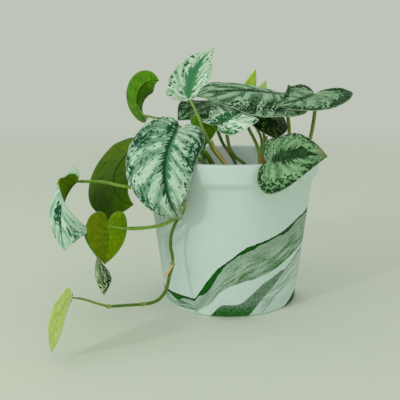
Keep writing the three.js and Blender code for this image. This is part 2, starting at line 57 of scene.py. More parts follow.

# %% [markdown]
# ## Tools for meshes
# Each piece is made from lists of points and faces, because a leaf or a stem follows a formula that
# is easier to write down than to model by hand. One helper turns the lists into an object, smooths
# its shading, hangs it on the root body and hides the solid that it stands for. Another skins a row
# of rings, which is what a turned pot, a stem and a rolled leaf have in common.

# %% Mesh helpers
import math
import random
from types import SimpleNamespace

import bpy
import numpy as np
from mathutils import Matrix, Vector, kdtree, noise

MM = 0.001
FULL_TURN = 2 * math.pi
SHARP_ANGLE = math.radians(50)


def make_piece(name, points, faces, finishes, node, face_finish=None):
    """An object from points in millimetres, riding on the plant and replacing a solid."""
    mesh = bpy.data.meshes.new(name)
    mesh.from_pydata([tuple(MM * value for value in point) for point in points], [], faces)
    for finish in finishes:
        mesh.materials.append(finish)
    if face_finish is not None:
        mesh.polygons.foreach_set("material_index", face_finish)
    mesh.polygons.foreach_set("use_smooth", [True] * len(faces))
    mesh.update()
    mesh.set_sharp_from_angle(angle=SHARP_ANGLE)
    piece = bpy.data.objects.new(name, mesh)
    bpy.context.scene.collection.objects.link(piece)
    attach(piece, "root")
    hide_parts(node)
    return piece


def store(piece, name, values, domain="POINT", kind="FLOAT"):
    """Keeps one value per point or face corner on a mesh, for its finish to read."""
    attribute = piece.data.attributes.new(name, kind, domain)
    field = "value" if kind == "FLOAT" else "vector"
    attribute.data.foreach_set(field, np.asarray(values, dtype=float).ravel())


def ring_faces(rings, sides):
    """The skin over rings of points. Two more points, after the rings, close its ends."""
    pairs = [(i, (i + 1) % sides) for i in range(sides)]
    faces = []
    for low in range(0, (rings - 1) * sides, sides):
        high = low + sides
        faces += [(low + i, low + j, high + j, high + i) for i, j in pairs]
    top, count = (rings - 1) * sides, rings * sides
    faces += [(count, j, i) for i, j in pairs]
    faces += [(count + 1, top + i, top + j) for i, j in pairs]
    return faces


def lerp(low, high, share):
    return low + (high - low) * share


def smooth(value, low, high):
    """0 below low, 1 above high, and an even S between them."""
    share = np.clip((value - low) / (high - low), 0, 1)
    return share * share * (3 - 2 * share)


print("Faces of a skin over 3 rings of 8 points", len(ring_faces(3, 8)))

# %% [markdown]
# ## Sums on sockets
# A material is a network of small nodes. Joining nodes by hand hides the arithmetic, so a wire
# stands for a socket here and understands plus, minus, times and divide. `1 - mask` then adds the
# Math node by itself, because the reflected form of each sum is there too.

# %% Wires
class Wire:
    """A number carried by a socket. Arithmetic on it adds Math nodes."""

    def __init__(self, finish, socket):
        self.finish = finish
        self.socket = socket

    def math(self, operation, *values):
        return self.finish.node("Math", dict(enumerate(values)), operation=operation)

    def __add__(self, other):
        return self.math("ADD", self, other)

    def __radd__(self, other):
        return self.math("ADD", other, self)

    def __sub__(self, other):
        return self.math("SUBTRACT", self, other)

    def __rsub__(self, other):
        return self.math("SUBTRACT", other, self)

    def __mul__(self, other):
        return self.math("MULTIPLY", self, other)

    def __rmul__(self, other):
        return self.math("MULTIPLY", other, self)

    def __truediv__(self, other):
        return self.math("DIVIDE", self, other)

    def __rtruediv__(self, other):
        return self.math("DIVIDE", other, self)

    def __abs__(self):
        return self.math("ABSOLUTE", self)

    def wave(self):
        return self.math("SINE", self)

    def rise(self, low, high):
        """How far the number has climbed above low, at most up to high."""
        return self.math("MINIMUM", self.math("MAXIMUM", self, low), high) - low

    def step(self, low, high):
        """0 below low, 1 above high, with a soft edge."""
        values = {0: self, 1: low, 2: high, 3: 0.0, 4: 1.0}
        return self.finish.node("MapRange", values, interpolation_type="SMOOTHSTEP")


print("Reflected sums", [name for name in vars(Wire) if name.startswith("__r")])

# %% [markdown]
# ## Finishes
# A finish holds one material and the nodes that feed it. Every node comes from one method, which
# takes the node's type, its settings and what goes into its sockets. The other methods are short
# names for the nodes that a plant and its pot need most.

# %% Finishes
class Finish:
    """A material, its shader and the nodes that feed it."""

    def __init__(self, name, **constants):
        self.material = bpy.data.materials.new(name)
        self.material.use_nodes = True
        self.tree = self.material.node_tree
        self.shader = self.tree.nodes["Principled BSDF"]
        for socket, value in constants.items():
            self.shader.inputs[socket.replace("_", " ")].default_value = value

    def node(self, kind, inputs, output=0, **settings):
        node = self.tree.nodes.new("ShaderNode" + kind)
        for setting, value in settings.items():
            setattr(node, setting, value)
        for socket, value in inputs.items():
            self.feed(node.inputs[socket], value)
        return Wire(self, node.outputs[output])

    def feed(self, socket, value):
        if isinstance(value, Wire):
            self.tree.links.new(value.socket, socket)
        else:
            socket.default_value = value

    def attribute(self, name, output="Fac"):
        return self.node("Attribute", {}, output, attribute_name=name)

    def parts(self, vector):
        """The three numbers of a vector wire."""
        split = self.node("SeparateXYZ", {0: vector})
        return [Wire(self, socket) for socket in split.socket.node.outputs]

    def vector(self, x, y, z=0.0):
        return self.node("CombineXYZ", {0: x, 1: y, 2: z})

    def vector_math(self, operation, *values, output=0):
        return self.node("VectorMath", dict(enumerate(values)), output, operation=operation)

    def place(self):
        """The point on the piece, in millimetres."""
        return self.vector_math("MULTIPLY", self.node("TexCoord", {}, "Object"), (1 / MM,) * 3)

    def noise(self, vector, scale, detail=2.0, roughness=0.5):
        inputs = {"Vector": vector, "Scale": scale, "Detail": detail, "Roughness": roughness}
        return self.node("TexNoise", inputs)

    def mix(self, factor, below, above, blend="MIX"):
        """A colour between two others, or the first one blended with the second in another way."""
        inputs = {0: factor, 6: below, 7: above}
        return self.node("Mix", inputs, 2, data_type="RGBA", blend_type=blend)

    def colour(self, wire):
        self.feed(self.shader.inputs["Base Color"], wire)

    def roughness(self, wire):
        self.feed(self.shader.inputs["Roughness"], wire)

    def relief(self, height, depth_mm, strength=1.0):
        """Bumps of the given depth, where height runs from 0 to 1."""
        bump = {"Height": height, "Distance": depth_mm * MM, "Strength": strength}
        self.feed(self.shader.inputs["Normal"], self.node("Bump", bump))


print("Methods of a finish", [name for name in vars(Finish) if not name.startswith("__")])

# %% [markdown]
# ### Colours
# Colours are written as on a paint chart, from 0 to 255. Those numbers follow the eye, but light adds
# up in another way, so each one is turned into an amount of light.

# %% Paint chart
def rgb(red, green, blue):
    """A colour from 0 to 255, turned into light."""
    def light(value):
        share = value / 255
        return share / 12.92 if share <= 0.04045 else ((share + 0.055) / 1.055) ** 2.4
    return (light(red), light(green), light(blue), 1.0)


print("Light in a middle grey", round(rgb(128, 128, 128)[0], 3))

# %% [markdown]
# ## The pot
# The pot is a thin-walled tapered bucket with a collar, turned about its axis. A lathe is the same
# idea: one profile, spun round. The profile is drawn once from the middle of the base, up the
# outside, over the lip and down the inside. Its corners are rounded, since fired clay or moulded
# resin has no knife edges and a round corner is what catches the light.

# %% Turning a profile
def rounded(corners, radius, steps=5):
    """A polyline with its inner corners turned into short curves."""
    path = [Vector(corners[0])]
    for before, corner, after in zip(corners, corners[1:], corners[2:]):
        corner = Vector(corner)
        arms = [Vector(before) - corner, Vector(after) - corner]
        cut = min(radius, *(arm.length * 0.45 for arm in arms))
        start, end = (corner + arm.normalized() * cut for arm in arms)
        for i in range(steps + 1):
            t = i / steps
            path.append(start * (1 - t) ** 2 + corner * 2 * t * (1 - t) + end * t * t)
    path.append(Vector(corners[-1]))
    return path


def refine(path, step):
    """The same polyline with no piece longer than step."""
    fine = [path[0]]
    for start, end in zip(path, path[1:]):
        count = max(1, math.ceil((end - start).length / step))
        fine += [start.lerp(end, i / count) for i in range(1, count + 1)]
    return fine


def spin(profile, sides):
    """Points and faces of a profile turned about the upright axis. Its ends lie on the axis."""
    turns = [FULL_TURN * i / sides for i in range(sides)]
    points = [
        (radius * math.cos(turn), radius * math.sin(turn), height)
        for radius, height in profile[1:-1] for turn in turns
    ]
    points += [(0, 0, profile[0][1]), (0, 0, profile[-1][1])]
    return points, ring_faces(len(profile) - 2, sides)


print("Points of a square turned in 8", len(spin([(0, 0), (1, 0), (1, 1), (0, 1)], 8)[0]))

# %% [markdown]
# ### Its profile
# The foot is a narrow ring: the middle of the base is a little hollow, so that the pot stands on its
# edge. The wall widens up to the neck, and the collar stands out above it, with a sloping lower
# side. Inside there is the same slope, one wall's thickness in.

# %% Pot profile
POT = {
    "height": 106.8, "rim": 65.0, "mouth": 60.0, "base": 48.3, "wall": 3.4, "floor": 4.0, "edge": 1.3,
    "neck": 59.5, "neck_height": 89.8, "collar": 63.9, "collar_foot": 95.2,
}
POT_SIDES = 192
POT_ROUNDING, POT_STEP = 1.6, 4.0
FOOT = {"ring": 5, "slope": 1, "hollow": 0.6}
COLLAR_UNDERSIDE = {"in": 0.4, "down": 1.2}

pot_corners = [
    (0, FOOT["hollow"]), (POT["base"] - FOOT["ring"] - FOOT["slope"], FOOT["hollow"]),
    (POT["base"] - FOOT["ring"], 0), (POT["base"], 0), (POT["neck"], POT["neck_height"]),
    (POT["collar"] - COLLAR_UNDERSIDE["in"], POT["collar_foot"] - COLLAR_UNDERSIDE["down"]),
    (POT["collar"], POT["collar_foot"]), (POT["rim"], POT["height"]), (POT["mouth"], POT["height"]),
    (POT["neck"] - POT["wall"], POT["neck_height"]),
    (POT["base"] - POT["wall"], POT["floor"]), (0, POT["floor"]),
]
pot_profile = refine(rounded(pot_corners, POT_ROUNDING), POT_STEP)
print("Pot profile points", len(pot_profile))

# %% [markdown]
# ### Its printed wash
# The pot is satin white with a faint mint cast, and a green watercolour wash is printed round its
# lower half: a dark wavering line with a pale green wash under it, and a patch with two thin seams
# at the foot. A picture could be wrapped round it, but the wash is made from formulas instead. The
# height of each line is a few slopes round the pot, and noise makes it waver. The height above or
# below a line then says which colour shows.

# %% Lines round the pot
# A slope in millimetres for each degree, and the degrees between which it climbs. 0 degrees is the
# front, positive to the right, and 180 the back.
CREST_FOOT = 11.8
CREST = ((1.2, -29, -9), (0.72, -9, 12), (0.28, 12, 33), (0.42, 33, 56), (0.2, 56, 90))
SEAM = ((0.98, 15, 43), (0.6, 43, 64))
SECOND_SEAM = ((1.0, 26, 39), (0.4, 39, 56))
FRONT_FADE = (100, 176)


def climb(turn, slopes):
    """The height of a line at a place round the pot."""
    return sum(slope * turn.rise(start, end) for slope, start, end in slopes)


def pot_map(finish):
    """What every part of the wash reads: the place on the pot and four noises."""
    place = finish.place()
    x, y, z = finish.parts(place)
    turn = finish.node("Math", {0: x, 1: -1 * y}, operation="ARCTAN2") * math.degrees(1)
    return SimpleNamespace(
        z=z, turn=turn, front=1 - abs(turn).step(*FRONT_FADE),
        drift=finish.noise(place, 0.09, 2.0) - 0.5,
        shake=finish.noise(place, 0.45, 3.0, 0.6) - 0.5,
        grain=finish.noise(place, 1.6, 4.0, 0.75),
        clouds=finish.noise(place, 0.12, 3.0, 0.6),
    )


print("Crest above its foot, at the right", sum(slope * (end - start) for slope, start, end in CREST))

# %% [markdown]
# ### The dark line and the wash under it
# The line swells and thins along its way, with one broad bulge where it starts to climb, and it is
# paler inside where the paint has run. The wash below is streaky along the line, grainy, and
# stronger towards its lower edge, where real watercolour gathers.

# %% Line and wash
def dark_line(spot):
    """How far below the line's upper edge a point is, the line, and its paler inside."""
    height = CREST_FOOT + spot.front * climb(spot.turn, CREST) + 2.2 * spot.drift + 1.3 * spot.shake
    below = height - spot.z
    swell = (spot.turn * 0.2 + 5.2).wave().step(-0.1, 1.0)
    bulge = 1 - abs(spot.turn + 14).step(2, 12)
    left_end = 1 - spot.turn.step(-48, -36)
    wide = 1.4 + (1.8 + 1.2 * spot.drift) * swell + 4.2 * bulge + 0.9 * left_end
    line = below.step(-0.2, 0.2) * (1 - below.step(wide, wide + 0.4))
    inside = below.step(0.7, 1.5) * (1 - below.step(wide - 1.4, wide - 0.6))
    return below, line, inside


def pale_wash(finish, spot, below):
    """The wash, its threads left of the climb, and the streaks that it shares with the foot."""
    depth = 9.5 + 9 * spot.turn.step(-32, -12) + 7 * spot.turn.step(-6, 18) + 2.5 * spot.drift
    share = below / depth
    streaks = finish.noise(finish.vector(spot.turn * 0.07, below * 0.3), 1.0, 3.0)
    threads = finish.noise(finish.vector(spot.turn * 0.06, below * 1.1, 4.0), 1.0, 2.0)
    under_line = below.step(0.0, 0.3)
    wash = under_line * (1 - share.step(0.97, 1.0)) * (0.4 + 0.6 * spot.turn.step(-26, 4))
    strength = 0.56 + 2.2 * (spot.grain - 0.5) + 0.22 * share.step(0.7, 1.0)
    strength = strength + 0.5 * (streaks.step(0.38, 0.66) - 0.4) * share.step(0.1, 0.6)
    left = under_line * (1 - share.step(1.0, 1.1)) * (1 - spot.turn.step(-30, 0))
    left = left * (0.1 + 1.1 * threads.step(0.45, 0.62))
    return wash * strength, left, streaks


print("Dark line's height at the far left", CREST_FOOT)

# %% [markdown]
# ### The foot and the whole finish
# A patch of strong colour rises from the foot and ends at a seam. A second seam follows it, with
# faint streaks past it, and a dark corner lies at the right. All masks are then laid over the
# glaze one after the other, as washes of paint are.

# %% Foot of the wash
def foot_patch(spot):
    """The patch between the foot and the first seam, how strong it is, and the seams."""
    top = 9.5 * spot.turn.step(-20, -4) + 12.5 * spot.turn.step(4, 28) + 0.4 * spot.turn.rise(22, 43)
    seam = spot.front * climb(spot.turn, SEAM) + spot.drift + 0.8 * spot.shake
    second = spot.front * climb(spot.turn, SECOND_SEAM) + spot.drift
    patch = (top + 2 * spot.drift + 1.3 * spot.shake - spot.z).step(0.0, 0.4)
    patch = patch * (spot.z - seam).step(-0.2, 1.2) * spot.turn.step(-21, -17) * spot.front
    strength = 0.76 + 2.4 * (spot.grain - 0.5) * (0.6 + spot.clouds) + 0.4 * (1 - spot.z.step(0, 12))
    past = (seam - spot.z).step(0.0, 0.4) * spot.turn.step(14, 18) * (1 - spot.turn.step(80, 100))
    past = past * (0.3 + 0.7 * (spot.z - second).step(0.0, 0.6))
    seams = (1 - abs(spot.z - seam).step(0.3, 0.7)) * spot.turn.step(28, 40)
    thin_seam = (1 - abs(spot.z - second).step(0.15, 0.5)) * spot.turn.step(26, 29)
    seams = seams + 0.8 * thin_seam * (1 - spot.turn.step(48, 60))
    return patch * strength, past, seams * spot.front


def wash_finish():
    finish = Finish("pot_glaze_wash", IOR=1.46, Specular_IOR_Level=0.14)
    spot = pot_map(finish)
    below, line, inside = dark_line(spot)
    wash, left, streaks = pale_wash(finish, spot, below)
    patch, past, seams = foot_patch(spot)
    corner = 8 * spot.turn.step(46, 74) * (1 - spot.turn.step(84, 100))
    corner = (corner + spot.shake - spot.z).step(0.0, 0.3)
    tint = finish.mix(spot.clouds, rgb(216, 233, 229), rgb(221, 237, 233))
    for mask, paint in (
        (left * (0.4 + spot.grain * 0.7), rgb(72, 124, 70)),
        (past * (0.1 + 0.8 * streaks.step(0.35, 0.65) * spot.grain), rgb(96, 150, 104)),
        (wash, rgb(40, 122, 18)),
        (patch, rgb(14, 102, 0)),
        (seams * 0.9, rgb(24, 66, 34)),
    ):
        tint = finish.mix(mask, tint, paint)
    deep = finish.mix(inside * spot.grain.step(0.35, 0.6), rgb(0, 78, 4), rgb(24, 112, 14))
    finish.colour(finish.mix((line + corner) * (0.9 + 0.3 * spot.grain), tint, deep))
    finish.roughness(0.45 + 0.1 * spot.grain)
    finish.relief(spot.grain, 0.03, 0.35)
    return finish.material


pot_points, pot_faces = spin(pot_profile, POT_SIDES)
make_piece("pot_body", pot_points, pot_faces, [wash_finish()], "pot")
print("Pot faces", len(pot_faces))

# %% [markdown]
# ## The soil
# Potting mix is a lumpy, crumbly surface. The body is spun like the pot, with a fine grid of rings
# on top. Two waves push the top up and down into lumps, as in the solid, and noise adds crumbs.

# %% Soil body
SOIL = {
    "top": 90.0, "crown": 2.5, "lump": 0.7, "low": 4.3, "low_edge": 1.5, "shoulder": 7, "rings": 60,
    "sides": 180, "side_gap": 0.2,
}
GAP = 0.3


def wall_radius(height):
    """Inside radius of the filled space at a height."""
    share = (height - POT["edge"]) / (POT["neck_height"] - POT["edge"])
    return lerp(POT["base"], POT["neck"], share) - POT["wall"] - 2 * GAP


def soil_height(x, y):
    dome = SOIL["crown"] * (1 - (x * x + y * y) / POT["mouth"] ** 2)
    lumps = math.sin(0.31 * x + 1.3) * math.cos(0.27 * y) + 0.6 * math.sin(0.62 * y - 0.44 * x)
    crumbs = noise.noise(Vector((x, y, 3)) * 0.28) + 0.7 * noise.noise(Vector((x, y, 9)) * 0.8)
    return SOIL["top"] + dome + SOIL["lump"] * lumps + crumbs


top_radius = wall_radius(SOIL["top"]) - SOIL["side_gap"]
soil_profile = [
    (0, SOIL["low"]), (wall_radius(SOIL["low"]) - SOIL["low_edge"], SOIL["low"]),
    (wall_radius(SOIL["shoulder"]), SOIL["shoulder"]),
]
soil_profile += [(top_radius * (1 - i / SOIL["rings"]), SOIL["top"]) for i in range(SOIL["rings"])]
soil_profile.append((0, SOIL["top"]))
soil_points, soil_faces = spin(soil_profile, SOIL["sides"])
soil_points = [
    (x, y, soil_height(x, y)) if z == SOIL["top"] else (x, y, z) for x, y, z in soil_points
]
print("Soil faces without its chips", len(soil_faces))

# %% [markdown]
# ### Bark, grit and crumbs
# Bark chips, white perlite and loose crumbs lie on the mix. Each is a small rough stone with ten
# faces, flat for bark, dropped at a random place. They are joined to the soil's own piece, and a
# number kept on their points tells the finish which they are. A fixed seed gives the same soil on
# every run.

# %% Chips
CHIPS = random.Random(11)
CRUMB, BARK, GRIT = 0, 1, 2
CHIP_SHARES = ((BARK, 90, 0.9, 2.4), (CRUMB, 150, 0.5, 1.3), (GRIT, 60, 0.5, 1.2))
CHIP_FLATNESS = {CRUMB: 0.8, BARK: 0.4, GRIT: 0.8}
CHIP_BELT = ((1, 0, 0.1), (0.3, 0.9, 0), (-0.8, 0.6, 0.1), (-0.8, -0.6, 0), (0.3, -0.9, 0.1))
CHIP_CORNERS = ((0, 0, 1), *CHIP_BELT, (0, 0, -1))
CHIP_NARROWNESS, CHIP_ROUGHNESS, CHIP_LIFT, CHIP_FREE_EDGE = 0.7, 0.25, 0.25, 3

chip_kinds = [CRUMB] * len(soil_points)
for kind, count, smallest, largest in CHIP_SHARES:
    for _ in range(count):
        reach = (top_radius - CHIP_FREE_EDGE) * math.sqrt(CHIPS.random())
        turn = CHIPS.uniform(0, FULL_TURN)
        size = CHIPS.uniform(smallest, largest)
        x, y = reach * math.cos(turn), reach * math.sin(turn)
        tumbled = Matrix.Rotation(CHIPS.uniform(0, 6), 3, (0.3, 0.5, 1))
        middle = Vector((x, y, soil_height(x, y) + CHIP_LIFT * size))
        start = len(soil_points)
        for corner in CHIP_CORNERS:
            rough = 1 + CHIPS.uniform(-CHIP_ROUGHNESS, CHIP_ROUGHNESS)
            shape = Vector((corner[0], corner[1] * CHIP_NARROWNESS, corner[2] * CHIP_FLATNESS[kind]))
            soil_points.append(tuple(middle + tumbled @ shape * size * rough))
            chip_kinds.append(kind)
        belt, last = start + 1, start + len(CHIP_CORNERS) - 1
        for i in range(len(CHIP_BELT)):
            j = (i + 1) % len(CHIP_BELT)
            soil_faces += [(start, belt + i, belt + j), (last, belt + j, belt + i)]
print("Chips", sum(count for _, count, _, _ in CHIP_SHARES))

# %% [markdown]
# ### The soil's finish
# Damp mix is dark brown with paler fibres in it. Bark is a warmer brown and perlite almost white.
# One noise at the size of crumbs feeds the colours, the roughness and the bumps, so that they agree.

# %% Soil finish
def soil_finish():
    finish = Finish("potting_soil")
    place = finish.place()
    kind = finish.attribute("chip")
    crumb = finish.noise(place, 0.9, 5.0, 0.7)
    fibre = finish.noise(place, 0.25, 3.0, 0.6)
    dark = finish.mix(crumb.step(0.35, 0.65), rgb(28, 19, 13), rgb(78, 57, 40))
    damp = finish.mix(fibre.step(0.45, 0.6) * 0.5, dark, rgb(96, 74, 52))
    bark = finish.mix(crumb, rgb(84, 52, 30), rgb(150, 106, 68))
    grit = finish.mix(crumb, rgb(196, 192, 180), rgb(232, 229, 220))
    barked = finish.mix(kind.step(0.4, 0.6), damp, bark)
    finish.colour(finish.mix(kind.step(1.4, 1.6), barked, grit))
    finish.roughness(0.8 + 0.15 * crumb)
    finish.relief(crumb, 0.5)
    return finish.material


soil = make_piece("soil_body", soil_points, soil_faces, [soil_finish()], "soil")
store(soil, "chip", chip_kinds)
print("Soil faces", len(soil_faces))

# %% [markdown]
# ## Smooth curves
# Stems follow smooth curves through a few points. Blender has curve objects with a bevel, but the
# solids already follow one kind of smooth curve, a centripetal Catmull-Rom, so the same curve is
# worked out here. A frame of three directions is then carried along it without needless turning.

# %% Curves and their frames
CURVE_STEP = 0.8


def catmull(points, step=CURVE_STEP):
    """Evenly spaced points on the smooth curve through the given ones."""
    points = np.array(points, dtype=float)
    ends = [2 * points[0] - points[1], *points, 2 * points[-1] - points[-2]]
    path = []
    for p0, p1, p2, p3 in zip(ends, ends[1:], ends[2:], ends[3:]):
        spans = [np.linalg.norm(b - a) for a, b in ((p0, p1), (p1, p2), (p2, p3))]
        d0, d1, d2 = (max(span, 1e-3) ** 0.5 for span in spans)
        t1 = ((p1 - p0) / d0 - (p2 - p0) / (d0 + d1) + (p2 - p1) / d1) * d1
        t2 = ((p2 - p1) / d1 - (p3 - p1) / (d1 + d2) + (p3 - p2) / d2) * d1
        square, cube = 3 * (p2 - p1) - 2 * t1 - t2, 2 * (p1 - p2) + t1 + t2
        count = max(2, math.ceil(spans[1] / step))
        path += [p1 + t1 * t + square * t**2 + cube * t**3 for t in np.arange(count) / count]
    path.append(points[-1])
    return np.array(path)


def frames_along(path):
    """Forward, side and up at each point of a path, turning as little as possible."""
    forward = np.gradient(path, axis=0)
    forward /= np.linalg.norm(forward, axis=1)[:, None]
    side = np.cross(forward[0], (0.3, 0.9, 0.2))
    sides = []
    for ahead in forward:
        side = side - ahead * side.dot(ahead)
        side /= np.linalg.norm(side)
        sides.append(side)
    sides = np.array(sides)
    return forward, sides, np.cross(forward, sides)


print("Points on a curve 10 mm long", len(catmull([(0, 0, 0), (5, 1, 0), (10, 0, 0)])))

# %% [markdown]
# ## Tubes
# A stem is a tube: a ring of points carried along the curve, with a radius of its own at each step.
# Several tubes can be joined into one list of points and faces.

# %% Tubes
STALK_SIDES = 14


def around(turns, side, up):
    """Directions at some turns round a path, from its side and up."""
    return np.cos(turns)[..., None] * side + np.sin(turns)[..., None] * up


def tube(path, radii, sides=STALK_SIDES):
    """Points and faces of a closed tube with a radius at each point of its path."""
    _, side, up = frames_along(path)
    ring = around(np.arange(sides) * FULL_TURN / sides, side[:, None], up[:, None])
    points = (path[:, None] + ring * np.asarray(radii)[:, None, None]).reshape(-1, 3)
    return np.vstack([points, path[:1], path[-1:]]), ring_faces(len(path), sides)


def along_tube(path):
    """The share of the way along, for each point of a stalk's tube."""
    return [*np.repeat(np.linspace(0, 1, len(path)), STALK_SIDES), 0, 1]


def joined(bodies):
    """Several bodies as one list of points and faces."""
    points, faces = [], []
    for body_points, body_faces in bodies:
        faces += [tuple(len(points) + i for i in face) for face in body_faces]
        points += [tuple(point) for point in body_points]
    return points, faces


short_path = np.linspace((0, 0, 0), (0, 0, 2), 3)
print("Faces of a tube with 3 rings", len(tube(short_path, np.ones(3))[1]))

# %% [markdown]
# ## How a blade lies
# A satin pothos blade is an arrow-heart. Its midrib leaves the petiole in some direction and droops,
# turns and twists on its way to the tip. Both halves fold up or down about the midrib and curl on
# towards the margin. A few angles say all of this for each leaf, and they are the same angles as in
# the solids, so the fine blade lies exactly where the plain one does.

# %% Blade angles
LEAVES = {
    "front_left": dict(
        base=(-33.5, -52, 127), length=66, left=0.29, right=0.49, lobe=0.19, shoulder=1.6, heading=242.5,
        pitch=-33, roll=19, bend=69, tip_bend=29, sweep=-45, twist=2, fold=13, tip_fold=19, cup=-74,
        lobe_bend=17),
    "top": dict(
        base=(-29, -2, 146.5), length=58, left=0.29, right=0.41, lobe=0.12, shoulder=1.2, heading=98,
        pitch=37, roll=20, bend=-6, tip_bend=-2, sweep=49, twist=23, fold=28, cup=12, lobe_bend=-25),
    "across": dict(
        base=(35, -7, 149.5), length=66, left=0.47, right=0.39, lobe=0.29, shoulder=1.4, heading=183,
        pitch=9, roll=15, bend=1, tip_bend=-1, sweep=-49, twist=-20, fold=-4, cup=-17, lobe_bend=-6),
    "right": dict(
        base=(59, -5, 149.5), length=55, left=0.5, right=0.33, lobe=0.29, shoulder=1.2, heading=256,
        pitch=-2, roll=7, bend=22, tip_bend=0, sweep=33, twist=-37, fold=10, cup=-3, lobe_bend=-25),
    "front_right": dict(
        base=(26.5, -63, 110), length=36.5, left=0.62, right=0.62, lobe=0.21, shoulder=1.2, heading=319,
        pitch=17, roll=-53, bend=42, tip_bend=29, sweep=-18, twist=5, fold=26, cup=-80, lobe_bend=-34),
    "shaded": dict(
        base=(24.5, 9, 141), length=44, left=0.45, right=0.42, lobe=0.25, shoulder=1.2, heading=280,
        pitch=-42, roll=23, bend=-14, tip_bend=-16, sweep=5, twist=21, fold=4, cup=-25, lobe_bend=0),
    "centre": dict(
        base=(-4, -37, 131.5), length=38.5, left=0.62, right=0.45, lobe=0.22, shoulder=1.3, heading=22,
        pitch=34, roll=-15, bend=66, tip_bend=9, sweep=-65, twist=34, fold=17, cup=-49, lobe_bend=-11),
    "behind_left": dict(
        base=(-15.5, 23, 143), length=43.5, left=0.47, right=0.33, lobe=0.22, shoulder=1.2, heading=230,
        pitch=-3, roll=9, bend=21, tip_bend=-6, sweep=-25, twist=-38, fold=1, cup=-15, lobe_bend=0),
    "inner_green": dict(
        base=(-18.5, -14, 131), length=22, left=0.45, right=0.47, lobe=0.14, shoulder=1.1, heading=95,
        pitch=-62, roll=-26, bend=0, tip_bend=2, sweep=4, twist=0, fold=6, cup=-14, lobe_bend=4),
    "upper_left": dict(
        base=(-63.7, 10, 134.1), length=38.5, left=0.38, right=0.56, lobe=0.16, shoulder=1.6, heading=193,
        pitch=45, roll=264, bend=24, tip_bend=0, sweep=-140, twist=-54, fold=76, tip_fold=16, cup=14,
        lobe_bend=-4),
    "left_dark": dict(
        base=(-66.5, -14, 112.5), length=70, left=0.55, right=0.42, lobe=0.25, shoulder=1.2, heading=215,
        pitch=-27, roll=184, bend=-48, tip_bend=-1, sweep=94, twist=33, fold=6, cup=0, lobe_bend=-10),
    "left_rolled": dict(
        base=(-102.2, -42, 93.1), length=51.5, left=0.69, right=0.26, lobe=0.19, shoulder=1.6, heading=183,
        pitch=-42, roll=13, bend=96, tip_bend=-52, sweep=-33, twist=-73, fold=50, tip_fold=7, cup=-58,
        lobe_bend=-60),
    "left_low": dict(
        base=(-76.5, -68, 69), length=27.5, left=0.5, right=0.45, lobe=0.35, shoulder=1.2, heading=268,
        pitch=-80, roll=212, bend=-34, tip_bend=-7, sweep=3, twist=-2, fold=-22, cup=45, lobe_bend=20),
    "left_twisted": dict(
        base=(-90.5, -39, 59.5), length=53.5, left=0.29, right=0.32, lobe=0.2, shoulder=1.2, heading=267,
        pitch=-55, roll=157, bend=-18, tip_bend=-6, sweep=41, twist=141, fold=12, cup=13, lobe_bend=1),
    "vine_end": dict(
        base=(-91, -112, 37), length=33.5, left=0.33, right=0.43, lobe=0.16, shoulder=1.1, heading=211,
        pitch=-52, roll=171, bend=-28, tip_bend=-12, sweep=-4, twist=-34, fold=-2, cup=-15, lobe_bend=43),
}
print("Leaves", len(LEAVES), "longest", max(leaf["length"] for leaf in LEAVES.values()))

# %% [markdown]
# ## Midribs
# A midrib is walked from the petiole in equal steps. At each step three directions, forward, side
# and up from the face, are turned a little by the leaf's angles. Behind the petiole, where a heart
# has its lobes, there is no midrib, so its first directions are curled back instead.

# %% Midribs
MIDRIB_STEPS = 40


def turned(vectors, axis, degrees):
    """Several vectors turned about one axis."""
    turn = Matrix.Rotation(math.radians(degrees), 3, Vector(axis))
    return [np.array(turn @ Vector(vector)) for vector in vectors]


def midrib(leaf):
    """Place, forward, side and normal at equal steps along the midrib."""
    heading, pitch = math.radians(leaf["heading"]), math.radians(leaf["pitch"])
    level = math.cos(pitch)
    forward = np.array([math.cos(heading) * level, math.sin(heading) * level, math.sin(pitch)])
    side = np.array([math.sin(heading), -math.cos(heading), 0.0])
    side, = turned([side], forward, -leaf["roll"])
    normal = np.cross(side, forward)
    place = np.array(leaf["base"], dtype=float)
    rows = [(place, forward, side, normal)]
    for i in range(MIDRIB_STEPS):
        along = (i + 0.5) / MIDRIB_STEPS
        droop = (leaf["bend"] + 2 * leaf["tip_bend"] * along) / MIDRIB_STEPS
        forward, normal = turned([forward, normal], side, -droop)
        forward, side = turned([forward, side], normal, -leaf["sweep"] / MIDRIB_STEPS)
        side, normal = turned([side, normal], forward, leaf["twist"] / MIDRIB_STEPS)
        place = place + forward * leaf["length"] / MIDRIB_STEPS
        rows.append((place, forward, side, normal))
    return [np.array(column) for column in zip(*rows)]


def frame_at(leaf, rib, along):
    """Place, side and normal at a share of the length; before 0 they follow the curled lobes."""
    places, forwards, sides, normals = rib
    if along <= 0:
        curl = -leaf["lobe_bend"] * along / leaf["lobe"]
        back, = turned([forwards[0]], sides[0], curl / 2)
        normal, = turned([normals[0]], sides[0], curl)
        return places[0] + back * along * leaf["length"], sides[0], normal
    spot = min(along, 1) * MIDRIB_STEPS
    index = min(int(spot), MIDRIB_STEPS - 1)
    place, side, normal = (
        lerp(column[index], column[index + 1], spot - index) for column in (places, sides, normals))
    return place, side / np.linalg.norm(side), normal / np.linalg.norm(normal)


ribs = {name: midrib(leaf) for name, leaf in LEAVES.items()}
print("Midribs", len(ribs))

# %% [markdown]
# ## The blade's surface
# The margin runs from the petiole round the back lobe and on to the tip. Every point of the blade is
# found from two numbers: its share of the way along that margin, and how far out it lies between the
# midrib and the margin. Lines of equal share are close to where the side veins run, which makes the
# same two numbers perfect for painting the silver markings and for raising the quilted puckers
# between the veins.

# %% Points of a blade
LOBE_SHARE = 0.42
TIP_ROUNDNESS = 1.12
MARGIN_PACE = 1.05
VEIN_START, VEIN_PACE = 0.25, 1.6
OUT_ALONG, OUT_ASIDE = 1.25, 0.95


